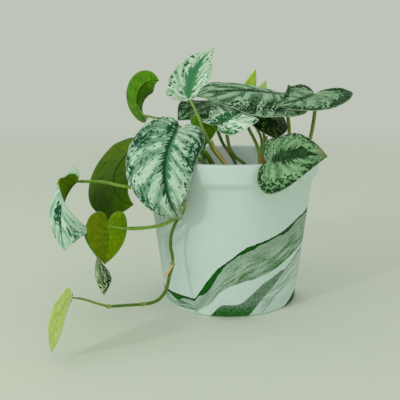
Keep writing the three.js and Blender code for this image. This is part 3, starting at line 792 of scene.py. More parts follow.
def margin(leaf, width, share):
    """How far along and aside the margin lies, as shares of the length."""
    if share < LOBE_SHARE:
        turn = math.pi * share / LOBE_SHARE
        return -leaf["lobe"] * math.sin(turn), width * (1 - math.cos(turn)) / 2
    onward = (share - LOBE_SHARE) / (1 - LOBE_SHARE)
    breadth = math.cos(math.pi / 2 * onward ** leaf["shoulder"])
    return onward**MARGIN_PACE, width * max(breadth, 0) ** TIP_ROUNDNESS


def vein_root(share):
    """Where on the midrib the side vein starts that meets the margin at this share."""
    return (max(share - VEIN_START, 0) / (1 - VEIN_START)) ** VEIN_PACE


def blade_point(leaf, rib, half, share, out):
    """A point of the blade's middle surface, and its flat place on the unrolled blade."""
    width = leaf["right"] if half > 0 else leaf["left"]
    edge_along, edge_aside = margin(leaf, width, share)
    along = lerp(vein_root(share), edge_along, out**OUT_ALONG)
    aside = edge_aside * out**OUT_ASIDE
    place, side, normal = frame_at(leaf, rib, along)
    fold = lerp(leaf["fold"], leaf.get("tip_fold", leaf["fold"]), min(max(along, 0), 1))
    lift = math.radians(fold + leaf["cup"] * aside / width / 2)
    reach = aside * leaf["length"]
    point = place + half * side * reach * math.cos(lift) + normal * reach * math.sin(lift)
    return point, (along * leaf["length"], half * reach)


top_leaf = LEAVES["top"]
print("Widest place of leaf top, in lengths", margin(top_leaf, top_leaf["right"], LOBE_SHARE))

# %% [markdown]
# ## Puckers
# Between its side veins a satin pothos blade is quilted: the flesh bulges and the veins lie in
# grooves. A sine wave across the veins makes the quilt, and noise makes it uneven. The puckers fade
# at the midrib, the margin, the lobes and the tip.

# %% Puckers
VEIN_SWEEP = 0.2


def vein_number(share, out):
    """The same all along one side vein, which sweeps towards the tip on its way out."""
    return share - VEIN_SWEEP * out


def pucker(share, out, seed, veins):
    """Height of the quilted bumps between side veins, about -1 to 1."""
    vein = vein_number(share, out)
    wander = 0.7 * noise.noise(Vector((vein * 5, out * 2, seed)))
    uneven = 0.6 + 0.9 * noise.noise(Vector((vein * 9, out * 3, seed + 5)))
    quilt = uneven * math.sin(FULL_TURN * (veins * vein + wander))
    rumple = noise.noise(Vector((vein * 24, out * 7, seed + 9)))
    ends = smooth(share, 0.02, 0.15) * (1 - smooth(share, 0.88, 1.0))
    fade = float(smooth(out, 0.03, 0.2) * (1 - 0.6 * smooth(out, 0.75, 1.0)) * ends)
    return fade * (0.8 * quilt + 0.4 * rumple)


print("A pucker in the middle of a blade", round(pucker(0.5, 0.5, 1, 10), 2))

# %% [markdown]
# ## The sheet
# A sheet of small quads is laid out in rows along the margin and columns from the midrib outwards.
# Rows that start in the lobes share the petiole's end as their first point, and the last row shrinks
# into the tip, so quads there lose a corner or two and become triangles or nothing.

# %% Rows of quads
BLADE_ROWS, BLADE_COLUMNS = 72, 18
COLUMN_PACE = 1.15
OUTS = [(column / BLADE_COLUMNS) ** COLUMN_PACE for column in range(BLADE_COLUMNS + 1)]


def sheet_normals(points, faces):
    """An average normal for every point."""
    normals = np.zeros_like(points)
    for face in faces:
        corners = points[list(face)]
        if len(face) == 4:
            area = np.cross(corners[2] - corners[0], corners[3] - corners[1])
        else:
            area = np.cross(corners[1] - corners[0], corners[2] - corners[0])
        normals[list(face)] += area
    return normals / np.linalg.norm(normals, axis=1)[:, None]


def row_faces(row, half, low, high):
    """The faces between two rows of points, and each corner's share and way out."""
    faces, corner_shares = [], []
    shares = [(row + i) / BLADE_ROWS for i in (0, 0, 1, 1)]
    for i in range(BLADE_COLUMNS):
        quad = (low[i], low[i + 1], high[i + 1], high[i])
        corners = []
        for point, share, out in zip(quad, shares, (OUTS[i], OUTS[i + 1], OUTS[i + 1], OUTS[i])):
            if all(point != kept for kept, _, _ in corners):
                corners.append((point, share, half * out))
        if len(corners) < 3:
            continue
        corners = corners if half > 0 else corners[::-1]
        faces.append(tuple(point for point, _, _ in corners))
        corner_shares.append([(share, out) for _, share, out in corners])
    return faces, corner_shares


print("Columns from midrib to margin", len(OUTS))

# %% [markdown]
# ### Both halves together
# The left and the right half share the points on the midrib, so that the sheet is one surface. Each
# point keeps where it is, for the finish to read, and is at last moved by its pucker. The border is
# a loop from the petiole round the left margin to the tip and back along the right one.

# %% Blade sheet
OTHER_HALF_SEED = 7


def blade_sheet(leaf, rib, seed, veins, depth):
    """The middle surface: points, faces, what the finish reads at each corner, and the border."""
    points, marks = [], []

    def add(point, mark):
        points.append(point)
        marks.append(mark)
        return len(points) - 1

    petiole_end = add(rib[0][0], (0, 0, 0, 0))
    tip = add(rib[0][-1], (1, 0, leaf["length"], 0))
    middle = [petiole_end]
    for share in np.arange(1, BLADE_ROWS) / BLADE_ROWS:
        root = vein_root(share)
        place = frame_at(leaf, rib, root)[0]
        middle.append(add(place, (share, 0, root * leaf["length"], 0)) if root > 0 else petiole_end)
    faces, corner_shares, border = [], [], []
    for half in (-1, 1):
        grid = [[petiole_end] * len(OUTS)]
        for row in range(1, BLADE_ROWS):
            share = row / BLADE_ROWS
            line = [middle[row]]
            for out in OUTS[1:]:
                point, flat = blade_point(leaf, rib, half, share, out)
                line.append(add(point, (share, half * out, *flat)))
            grid.append(line)
        grid.append([tip] * len(OUTS))
        for row, (low, high) in enumerate(zip(grid, grid[1:])):
            new_faces, new_shares = row_faces(row, half, low, high)
            faces += new_faces
            corner_shares += new_shares
        edge = [line[-1] for line in grid]
        border += edge if half < 0 else edge[::-1][1:]
    points, marks = np.array(points), np.array(marks)
    lifts = np.array([
        pucker(share, abs(out), seed + (OTHER_HALF_SEED if out > 0 else 0), veins)
        for share, out, _, _ in marks])
    points = points + sheet_normals(points, faces) * lifts[:, None] * depth
    return points, faces, marks, lifts, corner_shares, border


print("Points round a blade's border", 2 * BLADE_ROWS)

# %% [markdown]
# ## From sheet to blade
# A real blade is about half a millimetre of firm flesh, thinner at the margin, with the midrib
# standing out on the underside. The sheet is doubled: one copy goes half a thickness up, the other
# half a thickness down and further down near the midrib. A strip round the border closes them.
# The upper face, the underside and the strip each get their own finish. The puckers may not carry a
# margin out of the plant's own box, so every point is kept within it.

# %% Blade bodies
BLADE_THICKNESS, MARGIN_THICKNESS = 0.62, 0.36
RIB_RIDGE, RIB_WIDTH = 0.55, 0.9
UPPER, UNDER, EDGE = 0, 1, 2
BOX_LOW, BOX_HIGH = (np.array(corner) / MM for corner in cad_box)


def blade_body(name, leaf, rib, finishes, seed, veins, depth):
    points, faces, marks, lifts, corner_shares, border = blade_sheet(leaf, rib, seed, veins, depth)
    normals = sheet_normals(points, faces)
    _, out, _, aside = np.abs(marks.T)
    thick = lerp(BLADE_THICKNESS, MARGIN_THICKNESS, out**2)[:, None]
    along = np.clip(marks[:, 2] / leaf["length"], 0, 1)
    ridge = (RIB_RIDGE * (1 - along) * np.exp(-((aside / RIB_WIDTH) ** 2)))[:, None]
    count = len(points)
    solid = np.vstack([points + normals * thick / 2, points - normals * (thick / 2 + ridge)])
    solid = np.clip(solid, BOX_LOW, BOX_HIGH)
    all_faces = faces + [tuple(count + i for i in face[::-1]) for face in faces]
    shares = corner_shares + [face[::-1] for face in corner_shares]
    kinds = [UPPER] * len(faces) + [UNDER] * len(faces)
    for start, end in zip(border, border[1:]):
        all_faces.append((start, end, end + count, start + count))
        shares.append([(marks[i, 0], marks[i, 1]) for i in (start, end, end, start)])
        kinds.append(EDGE)
    piece = make_piece(f"{name}_blade", solid, all_faces, finishes, f"leaf_{name}", kinds)
    veins_here = [(share, out, vein_number(share, abs(out))) for face in shares for share, out in face]
    store(piece, "vein", veins_here, "CORNER", "FLOAT_VECTOR")
    flat = np.column_stack([marks[:, 2:4], np.full(count, seed * 20.0)])
    store(piece, "flat", np.vstack([flat, flat]), "POINT", "FLOAT_VECTOR")
    store(piece, "lift", np.hstack([lifts, lifts]))
    return piece


print("Room for blades in millimetres", BOX_LOW.round(1), BOX_HIGH.round(1))

# %% [markdown]
# ## Silver markings
# What makes this plant is its satin silver: pale blotches drawn out along the side veins, broken by
# dark flecks that crowd towards the margin, and a ragged dark band down the midrib. Several noises
# make it. Long streaks and short dashes read the vein numbers, so they run along the veins, and
# round flecks and large patches lie on the flat blade. Their sum is cut at a level that changes with
# the way out to the margin, and a few soft ovals thin or thicken the silver where a leaf asks for it.

# %% Marking masks
def oval(finish, flat, x, y, reach_x, reach_y):
    """A soft oval on the flat blade: 1 inside, 0 outside. Lengths in millimetres."""
    offset = finish.vector_math("SUBTRACT", flat, (x, y, 0))
    scaled = finish.vector_math("MULTIPLY", offset, (1 / reach_x, 1 / reach_y, 0))
    return 1 - finish.vector_math("LENGTH", scaled, output=1).step(0.5, 1.15)


def blade_map(finish, seed, length, look):
    """What every part of the upper face reads: the place on the blade and its noises."""
    share, across, vein = finish.parts(finish.attribute("vein", "Vector"))
    flat = finish.attribute("flat", "Vector")
    row = vein * length
    return SimpleNamespace(
        share=share, across=across, out=abs(across), flat=flat, lift=finish.attribute("lift"),
        streaks=finish.noise(finish.vector(row * 0.45, across * 2.2, seed), 1.0),
        dashes=finish.noise(finish.vector(row * 1.1, across * length * 0.16, seed + 3.0), 1.0),
        combs=finish.noise(finish.vector(row * 1.2, across * 1.5, seed + 7.0), 1.0),
        flecks=finish.noise(flat, look["grain"], 3.0, 0.6),
        patches=finish.noise(flat, 0.1), sparkle=finish.noise(flat, 2.0, 2.0, 0.6),
    )


def beyond_band(leaf, look):
    """1 past the band down the midrib, which widens from the petiole on and ends in teeth."""
    wide = look["band"] * (0.35 + 0.75 * leaf.share.step(0.25, 0.75))
    wide = wide * (1 - look["taper"] * leaf.share.step(0.7, 0.95))
    edge = wide * (look["solid"] + look["teeth"] * leaf.combs.step(0.36, 0.7))
    return (leaf.out - edge).step(0.0, 0.02)


def silver_lack(finish, leaf, look):
    """How much is missing for silver to show: below 0 there is silver, above it green."""
    blend = look["streaks"] * (leaf.streaks - 0.5) + look["dashes"] * (leaf.dashes - 0.5)
    blend = blend + look["flecks"] * (leaf.flecks - 0.5) + 0.35 * (leaf.patches - 0.5)
    # Green shows more in the hollows of the puckers: partly the markings, partly painted shade.
    hollow_markings_and_shade = 1 - leaf.lift.step(-0.7, 0.1)
    level = leaf.out.step(look["clear"], 1.0) * look["crowd"] + 0.12 * hollow_markings_and_shade - 0.16 * look["silver"]
    for amount, *place in look["spots"]:
        level = level + amount * oval(finish, leaf.flat, *place)
    return level - blend


print("Masks of the upper face are ready")

# %% [markdown]
# ## The upper face
# The silver is painted paler on the tops of the puckers and darker in their hollows, a painted
# highlight and painted shade, and it is finely mottled. The green is deepest inside the flecks,
# where no silver shines through, and the band down the midrib has two greens. A pale rim and, on
# old leaves, a dry tip finish it. The surface is satin: rather rough, with fine bumps.

# %% Upper face
SPARKLE_TINT = (0.82, 0.88, 0.84, 1)
DRY_TIP = rgb(150, 142, 96)


def silver_colour(finish, leaf, look, light, pale):
    # Painted highlight and painted shade: pucker tops take the pale silver and hollows the darker one, by
    # the relief amount times the lift; streaks and patches add the silver's own mottling.
    ridge = 0.5 + look["relief"] * leaf.lift + 0.5 * (leaf.streaks - 0.5) + 0.7 * (leaf.patches - 0.5)
    ridge = ridge + look["fine"] * (leaf.dashes + leaf.combs - 1.0)
    # Painted highlight and painted shade: each oval lightens the silver, or darkens it where its amount is
    # below 0.
    for amount, *place in look["painted_light_ovals"]:
        ridge = ridge + amount * oval(finish, leaf.flat, *place)
    tone = finish.mix(ridge.step(0.2, 0.8), light, pale)
    return finish.mix(1 - leaf.sparkle.step(0.25, 0.55), tone, SPARKLE_TINT, "MULTIPLY")


def green_colour(finish, leaf, look, beyond, lack, dark, deep):
    side = (0.5 - leaf.across.step(-0.02, 0.02)) * look["split"] + look["core"]
    band = (0.5 * leaf.streaks + 0.5 * leaf.flecks + side).step(0.42, 0.58)
    fleck_tone = finish.mix(lack.step(0.02, 0.16), dark, deep)
    return finish.mix(beyond, finish.mix(band, deep, dark), fleck_tone)


def upper_finish(name, seed, length, look, light, pale, dark, deep):
    finish = Finish(f"{name}_upper", IOR=1.42, Specular_IOR_Level=0.2)
    leaf = blade_map(finish, seed, length, look)
    beyond = beyond_band(leaf, look)
    lack = silver_lack(finish, leaf, look)
    silver = silver_colour(finish, leaf, look, light, pale)
    green = green_colour(finish, leaf, look, beyond, lack, dark, deep)
    shown = finish.mix(beyond * (1 - lack.step(-0.03, 0.025)), green, silver)
    edged = finish.mix(leaf.out.step(0.965, 0.995) * 0.7, shown, pale)
    tip = leaf.share.step(0.84, 1.0) * finish.noise(leaf.flat, 0.16).step(0.4, 0.6)
    finish.colour(finish.mix(tip * look["blush"], edged, DRY_TIP))
    finish.roughness(0.52 + 0.16 * leaf.sparkle)
    groove = 1 - leaf.out.step(0.0, 0.05)
    grain = 0.25 * leaf.sparkle + 0.35 * leaf.streaks + 0.25 * leaf.dashes
    finish.relief(0.5 + grain - 0.4 * groove, 0.25)
    return finish.material


print("The upper face is ready")

# %% [markdown]
# ## Undersides and margins
# Underneath there is no silver. The underside is plain fresh green, with the midrib and the side
# veins a little deeper where light comes through the blade, and uneven like stained glass. Painted
# shade darkens the hollows of the puckers, the left half of one leaf and the stretch towards the tip
# of another. The very margin is a thin pale line on both faces.

# %% Underside and margin
UNDER_SHADE = rgb(14, 66, 0)
PUCKER_HOLLOW_SHADE = (0.7, 0.78, 0.6, 1)
HALF_SHADE_TINT = (0.8, 0.62, 1.0, 1)
VEIN_WAVES = 62.8


def under_finish(name, seed, near, far, vein_colour, look):
    finish = Finish(f"{name}_under", IOR=1.42, Specular_IOR_Level=0.06)
    share, across, _ = finish.parts(finish.attribute("vein", "Vector"))
    flat = finish.attribute("flat", "Vector")
    out = abs(across)
    streaks = finish.noise(finish.vector(share * 16, across * 1.6, seed + 2.0), 1.0, 3.0, 0.55)
    blots = finish.noise(flat, 0.3, 3.0, 0.6)
    ground = finish.mix((streaks * 0.5 + blots * 0.5).step(0.36, 0.66), near, far)
    side_vein = (share * VEIN_WAVES + 1.6 * streaks).wave().step(0.8, 1.0)
    side_vein = side_vein * out.step(0.02, 0.1) * (1 - out.step(0.75, 1.0))
    rib = 1 - out.step(0.012, 0.05)
    tone = finish.mix(0.85 * rib + look["veins_shown"] * side_vein, ground, vein_colour)
    # Painted shade: the hollows of the puckers, seen from below, are darkened.
    tone = finish.mix(finish.attribute("lift").step(0.0, 0.7) * 0.5, tone, PUCKER_HOLLOW_SHADE, "MULTIPLY")
    # Painted shade: the left half of the underside is darkened where a leaf asks for it.
    shaded_half_mask = 1 - across.step(-0.1, 0.04)
    tone = finish.mix(shaded_half_mask * look["painted_shade_half"], tone, HALF_SHADE_TINT, "MULTIPLY")
    # Painted shade: towards the tip the underside turns deep green, by the look's shade amount.
    tone = finish.mix((share + 0.25 * streaks).step(0.3, 0.95) * look["shade"], tone, UNDER_SHADE)
    finish.colour(tone)
    finish.roughness(0.5 + 0.15 * blots)
    finish.relief(0.3 * blots + 0.5 * rib + 0.4 * side_vein, 0.3)
    return finish.material


def margin_finish():
    finish = Finish("blade_margin")
    grain = finish.noise(finish.place(), 1.1)
    finish.colour(finish.mix(grain, rgb(168, 200, 150), rgb(200, 218, 172)))
    finish.roughness(0.45 + 0.15 * grain)
    return finish.material


MARGIN_LINE = margin_finish()
print("Margin finish", MARGIN_LINE.name)

# %% [markdown]
# ## Tones
# Leaves of one plant differ, and the youngest are yellow. Some sets also paint light and shade into
# the colour: DEEP_SHADE is painted shade for the leaf that stands under others, and BRIGHT_UNDER is
# a fresh green made lighter, as painted light, for a small leaf that stands in shade in the crown.
# Each set below has two silvers and two greens for an upper face, or a mottled ground and a vein
# colour for an underside.

# %% Tones
def upper_tones(light, pale, dark, deep):
    return {"light": rgb(*light), "pale": rgb(*pale), "dark": rgb(*dark), "deep": rgb(*deep)}


def under_tones(near, far, vein):
    return {"near": rgb(*near), "far": rgb(*far), "vein_colour": rgb(*vein)}


SILVER = upper_tones((128, 174, 142), (206, 232, 212), (72, 134, 100), (22, 76, 42))
BRIGHT_SILVER = upper_tones((168, 216, 176), (244, 255, 244), (84, 156, 106), (40, 104, 50))
GREY_SILVER = upper_tones((86, 130, 92), (178, 214, 180), (36, 76, 42), (12, 48, 18))
MINT = upper_tones((118, 162, 122), (172, 210, 170), (60, 110, 68), (24, 66, 28))
SATIN = upper_tones((150, 196, 168), (214, 236, 218), (64, 130, 98), (28, 84, 54))
OLIVE_MINT = upper_tones((100, 144, 98), (156, 196, 148), (50, 98, 54), (22, 56, 18))
DULL_MINT = upper_tones((158, 190, 130), (228, 244, 198), (66, 88, 44), (24, 40, 14))
# Painted shade: a dark set for the leaf that stands in the shade of others.
DEEP_SHADE = upper_tones((84, 132, 30), (124, 164, 66), (22, 66, 6), (4, 36, 0))
FRESH_UNDER = under_tones((74, 134, 14), (112, 162, 28), (44, 94, 2))
OLIVE_UNDER = under_tones((82, 120, 0), (114, 142, 0), (32, 64, 0))
YELLOW_UNDER = under_tones((106, 144, 2), (134, 166, 10), (54, 88, 0))
# Partly a fresh underside green, partly painted light for a leaf in shade inside the crown.
BRIGHT_UNDER = under_tones((98, 160, 26), (132, 186, 44), (60, 110, 8))
PALE_UNDER = under_tones((170, 196, 98), (202, 218, 138), (146, 172, 72))
print("Tones of a fresh underside", [round(value, 2) for value in FRESH_UNDER["near"]])

# %% [markdown]
# ## The look of each leaf
# One plain look says how silver lies on a leaf, and each leaf names only what differs from it. Ovals
# for spots and for painted light are an amount, a middle and two reaches on the flat blade, in
# millimetres. A spot thins the silver, or thickens it where the amount is below 0. A painted-light
# oval paints the silver lighter, a painted highlight, or darker where the amount is below 0, painted
# shade.

# %% Looks
PLAIN_LOOK = dict(
    slot="blade_silver", tones=SILVER, shade=0.0, silver=0.8, band=0.08, solid=0.35, teeth=2.3, taper=0.0,
    split=0.0, core=0.0, clear=0.45, crowd=0.19, streaks=0.8, dashes=0.7, flecks=1.2, grain=0.5, relief=0.45,
    fine=0.3, blush=0.0, spots=[], painted_light_ovals=[], veins_shown=0.3, painted_shade_half=0.0)
BLADES = {
    "front_left": dict(
        veins=10, depth=1.0, under=FRESH_UNDER, silver=1.15, streaks=0.6, dashes=0.5, flecks=1.15,
        relief=0.75, fine=1.0, split=0.4, core=0.05, blush=0.9, solid=0.45, teeth=1.9,
        spots=[(0.28, -1, 4, 8, 4.5), (0.18, 6, 20, 12, 9), (0.13, 8, -15, 22, 10), (-0.1, 38, -6, 12, 5)],
        painted_light_ovals=[(-0.45, 2, 14, 12, 12), (0.3, 40, -5, 14, 6)]),
    "top": dict(
        veins=10, depth=0.45, under=FRESH_UNDER, tones=BRIGHT_SILVER, silver=1.9, streaks=0.1,
        dashes=0.1, flecks=2.8, grain=0.32, band=0.2, solid=0.9, teeth=1.3, taper=0.6, clear=0.5,
        crowd=0.16, core=0.14),
    "across": dict(
        veins=7, depth=1.25, under=FRESH_UNDER, tones=GREY_SILVER, silver=2.0, streaks=0.3, dashes=0.35,
        flecks=2.4, grain=0.5, band=0.03, relief=1.0, fine=0.7,
        spots=[(0.5, 39, 5, 9, 1.6), (0.5, 20, 1.5, 9, 1.8), (0.2, 24, -17, 28, 9), (0.2, 2, -20, 12, 9)]),
    "right": dict(
        veins=8, depth=0.7, under=FRESH_UNDER, tones=MINT, silver=1.2, streaks=0.4, dashes=0.4,
        flecks=1.6, band=0.06, clear=0.35, crowd=0.36, relief=0.6),
    "front_right": dict(
        veins=9, depth=0.5, under=FRESH_UNDER, tones=OLIVE_MINT, silver=1.15, streaks=0.35, dashes=0.35,
        flecks=1.5, grain=0.6, band=0.2, solid=0.9, teeth=1.0, taper=0.75, clear=0.4, crowd=0.26,
        blush=0.9, spots=[(0.08, -6, 5, 5, 5), (-0.12, 11, 9, 8, 4)]),
    # Painted shade: this leaf's dark tones and thin silver paint the shade of the leaves above it.
    "shaded": dict(
        veins=9, depth=0.4, under=OLIVE_UNDER, tones=DEEP_SHADE, silver=-0.2, streaks=1.4, dashes=0.8),
    "centre": dict(
        veins=9, depth=0.5, under=FRESH_UNDER, tones=BRIGHT_SILVER, silver=0.8, flecks=1.5, streaks=0.5,
        spots=[(0.3, 0, -3, 11, 7), (-0.15, 6, 13, 8, 6)]),
    "behind_left": dict(veins=9, depth=0.4, under=OLIVE_UNDER, tones=MINT, silver=0.3),
    "inner_green": dict(slot="blade_green", veins=8, depth=0.3, under=BRIGHT_UNDER),
    "upper_left": dict(slot="blade_green", veins=9, depth=0.3, under=FRESH_UNDER),
    "left_dark": dict(slot="blade_green", veins=8, depth=0.5, under=OLIVE_UNDER, shade=0.6),
    "left_rolled": dict(
        veins=7, depth=0.35, under=YELLOW_UNDER, tones=SATIN, silver=2.6, streaks=0.3, dashes=0.3,
        flecks=1.7, grain=0.4, band=0.03, relief=0.6,
        spots=[(0.5, 25, 1.5, 12, 5), (0.5, 18, -21, 10, 0.9), (0.5, 36, -9, 6, 1.0),
               (0.2, 30, -12, 20, 12)]),
    "left_low": dict(
        slot="blade_green", veins=8, depth=0.3, under=YELLOW_UNDER, veins_shown=0.2, painted_shade_half=0.7),
    "left_twisted": dict(
        veins=9, depth=0.3, under=FRESH_UNDER, tones=DULL_MINT, silver=0.5, streaks=0.6, dashes=0.6,
        flecks=2.0, grain=0.5, band=0.04, spots=[(-0.35, 30, 7, 16, 3.5), (0.1, 32, -4, 14, 3)]),
    "vine_end": dict(slot="blade_pale", veins=8, depth=0.3, under=PALE_UNDER, veins_shown=0.08),
}
print("Looks", len(BLADES))

# %% [markdown]
# ## All blades
# With the angles, the sheet, the finishes and the looks at hand, all fifteen blades come from one
# loop. Each has its own seed, so that no two carry the same markings.

# %% Blades
blade_faces = 0
for seed, (name, own_look) in enumerate(BLADES.items(), start=1):
    leaf, look = LEAVES[name], {**PLAIN_LOOK, **own_look}
    upper = upper_finish(name, seed, leaf["length"], look, **look["tones"])
    under = under_finish(name, seed, look=look, **look["under"])
    blade = blade_body(
        name, leaf, ribs[name], [upper, under, MARGIN_LINE], seed, look["veins"],
        look["depth"])
    blade_faces += len(blade.data.polygons)
print("Blades", len(BLADES), "faces", blade_faces)

# %% [markdown]
# ## The finish of stems
# A petiole is smooth and fleshy, with faint fibres along it. The green changes on its way, fresh
# below and more olive above, and noise lays darker mottles over it.

# %% Stem finish
def stem_finish(name, low, high, mottle, roughness=0.42):
    finish = Finish(name, IOR=1.4)
    place = finish.place()
    fibre = finish.noise(place, 0.35, 3.0, 0.6)
    along = finish.attribute("along")
    ground = finish.mix(along, low, high)
    finish.colour(finish.mix((fibre - 0.1 * along).step(0.5, 0.72) * 0.6, ground, mottle))
    finish.roughness(roughness + 0.12 * fibre)
    finish.relief(finish.noise(place, 1.4), 0.12)
    return finish.material


PETIOLE_GREEN = stem_finish("petiole_green", rgb(138, 178, 56), rgb(150, 188, 90), rgb(104, 142, 40))
PETIOLE_DARK = stem_finish("petiole_dark", rgb(88, 122, 40), rgb(104, 138, 56), rgb(56, 84, 28))
PETIOLE_OLIVE = stem_finish("petiole_olive", rgb(140, 164, 44), rgb(130, 156, 44), rgb(104, 124, 34))
print("Stem finishes", [finish.name for finish in (PETIOLE_GREEN, PETIOLE_DARK, PETIOLE_OLIVE)])

# %% [markdown]
# ## Petioles
# A petiole is a slim fleshy stalk, thickest where it leaves the soil and thinnest where it meets the
# blade. Each one below is the solid's own path: straight out of the soil, along its way, and on to
# its leaf.

# %% Stems that stand in the soil
STEM_HEIGHTS = (78, 88, 95)
STANDING = {
    "petiole_top": dict(
        radius=1.2, foot=(-2, -26), leaf="top", finish=PETIOLE_GREEN,
        path=[(-4.5, -26, 103.5), (-11.5, -26, 112.5), (-15, -25.5, 119.5), (-18.5, -22.5, 127),
              (-21.5, -18, 134), (-25, -11.5, 140.5)]),
    "petiole_across": dict(
        radius=1.3, foot=(36, -10), leaf="across", finish=PETIOLE_OLIVE,
        path=[(38.5, -10, 103.5), (41, -9, 114), (42, -8, 124), (41, -7.5, 133), (39, -7.5, 142)]),
    "petiole_right": dict(
        radius=1.4, foot=(46, -2), leaf="right", finish=PETIOLE_OLIVE,
        path=[(53, -2, 104), (58, -2, 119), (60, -2.5, 131.5), (60.5, -3.5, 140)]),
    "petiole_front_right": dict(
        radius=1.3, foot=(26, -36), leaf="front_right", finish=PETIOLE_GREEN,
        path=[(26.5, -38.5, 102), (27.5, -46, 109.5), (27.5, -54, 111.5)]),
    "petiole_shaded": dict(
        radius=1.2, foot=(21, -22), leaf="shaded", finish=PETIOLE_GREEN,
        path=[(20.5, -21, 107.5), (19.5, -18, 112.5), (16.5, -12, 119.5), (13, -8, 126.5), (14, -1, 134),
              (19, 5, 139)]),
    "petiole_centre": dict(
        radius=1.2, foot=(12, -29), leaf="centre", finish=PETIOLE_DARK,
        path=[(10.4, -30, 102.5), (4.5, -32, 107.5), (0.2, -34, 113.6), (-1.6, -34.8, 120.5),
              (-2.6, -35.5, 126)]),
    "petiole_behind_left": dict(
        radius=1.2, foot=(5, -16.5), leaf="behind_left", finish=PETIOLE_DARK,
        path=[(3.8, -15.5, 101.5), (-0.4, -9, 108.5), (-5, 0, 114), (-8.5, 6, 121.5), (-11.5, 11.5, 130),
              (-13.5, 15, 137)]),
    "petiole_inner_green": dict(
        radius=1.0, foot=(-17, -15), leaf="inner_green", finish=PETIOLE_DARK,
        path=[(-18, -15.5, 106), (-18.5, -16, 120)]),
    "petiole_upper_left": dict(
        radius=1.0, foot=(-18, -2), leaf="upper_left", finish=PETIOLE_GREEN,
        path=[(-22, 2, 109.5), (-34, 8, 123.5), (-44, 10, 129.5), (-50.5, 10, 131.3), (-56.5, 10, 132.4),
              (-60.5, 10, 133.5)]),
    "petiole_left_dark": dict(
        radius=1.2, foot=(-14, -32), leaf="left_dark", finish=PETIOLE_GREEN,
        path=[(-15, -36.5, 102), (-19.5, -42.5, 107.5), (-28, -43, 112), (-42, -35, 115.5),
              (-57, -21, 114.5)]),
    "spear_tall": dict(
        radius=1.1, foot=(22, -8), leaf=None, finish=PETIOLE_GREEN,
        path=[(21, -6, 106), (23, 0, 112.5), (22.5, 8, 119), (17, 16, 129), (12, 21, 137), (11.5, 22, 143)]),
    "spear_short": dict(
        radius=1.1, foot=(28, -4), leaf=None, finish=PETIOLE_GREEN,
        path=[(23.5, -1, 105), (25, 4, 110.5), (25.5, 11, 117), (24, 19, 125), (21.8, 26, 135),
              (21.7, 27, 143)]),
}


def stem_curve(stem):
    """The smooth middle line of a stem, out of the soil if it has a foot, and on to its leaf."""
    start = [(*stem["foot"], height) for height in STEM_HEIGHTS] if "foot" in stem else []
    end = [LEAVES[stem["leaf"]]["base"]] if stem["leaf"] else []
    return catmull(start + stem["path"] + end)


print("Stems in the soil", len(STANDING))

# %% [markdown]
# ## From stem to blade
# In a real leaf the petiole doesn't stop at the blade: it runs on under it as the midrib. So the
# last stretch of the tube bends in under the midrib and thins out there.

# %% Stalks
STALK_TAPER = (1.1, 0.85)
BEND_POINTS = 8
MIDRIB_DEPTH, BEND_DEPTH = 0.45, 0.5
MIDRIB_REACHES = (1.5, 3.5, 5.85, 9.0)
LAST_RADIUS, THINNING = 0.22, 0.8
WOBBLE, WOBBLE_SCALE = 0.05, 0.12


def under_midrib(name):
    """A few points just under the midrib, where the petiole runs on into the blade."""
    leaf, rib = LEAVES[name], ribs[name]
    places = [frame_at(leaf, rib, reach / leaf["length"]) for reach in MIDRIB_REACHES]
    return [place - normal * MIDRIB_DEPTH for place, _, normal in places]


def stalk(path, radius, leaf_name):
    """A tapered tube along a path, running on under the blade that it carries."""
    radii = radius * lerp(*STALK_TAPER, np.linspace(0, 1, len(path)))
    if leaf_name:
        places, _, _, normals = ribs[leaf_name]
        base = places[0] - normals[0] * BEND_DEPTH
        end = catmull([path[-BEND_POINTS], base, *under_midrib(leaf_name)])
        shares = np.linspace(0, 1, len(end))
        thinned = lerp(radii[-BEND_POINTS], LAST_RADIUS, shares**THINNING)
        radii = np.concatenate([radii[:-BEND_POINTS], thinned])
        path = np.vstack([path[:-BEND_POINTS], end])
    return path, radii


for name, stem in STANDING.items():
    if stem["leaf"]:
        path, radii = stalk(stem_curve(stem), stem["radius"], stem["leaf"])
        wobble = [1 + WOBBLE * noise.noise(Vector(point) * WOBBLE_SCALE) for point in path]
        points, faces = tube(path, radii * np.array(wobble))
        piece = make_piece(f"{name}_stalk", points, faces, [stem["finish"]], name)
        store(piece, "along", along_tube(path))
print("Petioles", sum(bool(stem["leaf"]) for stem in STANDING.values()))

# %% [markdown]
# ## Unopened leaves
# A new pothos leaf comes up rolled round itself like a paper cone, with its outer edge showing as a
# seam that winds up to the point. A ring of points whose radius grows a little as it goes round,
# and then drops back, makes that seam; carried up a slim spindle it is the rolled leaf.

# %% Rolled spears
SPEARS = {
    "spear_tall": dict(
        base=(10, 22, 139), tip=(19.2, 22, 167.6), radius=5.2, light=rgb(222, 246, 84),
        deep=rgb(164, 208, 46)),
    "spear_short": dict(
        base=(20.4, 27, 139), tip=(27.1, 27, 159.6), radius=4.8, light=rgb(246, 250, 186),
        deep=rgb(176, 214, 92)),
}
SPEAR_SIDES, SPEAR_RINGS = 40, 46
SPEAR_BELLY, SPEAR_END = 0.87, 0.02
SEAM_STEP, SEAM_TURNS = 0.14, 0.35
STREAK_WAVES = 50.3


def spear_finish(name, light, deep):
    finish = Finish(name, IOR=1.4)
    fibre = finish.noise(finish.place(), 0.5, 3.0)
    streak = (finish.attribute("roll") * STREAK_WAVES + 3.0 * fibre).wave() * 0.5 + 0.5
    tone = finish.mix((0.55 * streak + 0.6 * fibre).step(0.35, 0.85), deep, light)
    finish.colour(finish.mix(finish.attribute("along") * 0.25, tone, deep))
    finish.roughness(0.38 + 0.12 * fibre)
    finish.relief(streak, 0.15)
    return finish.material


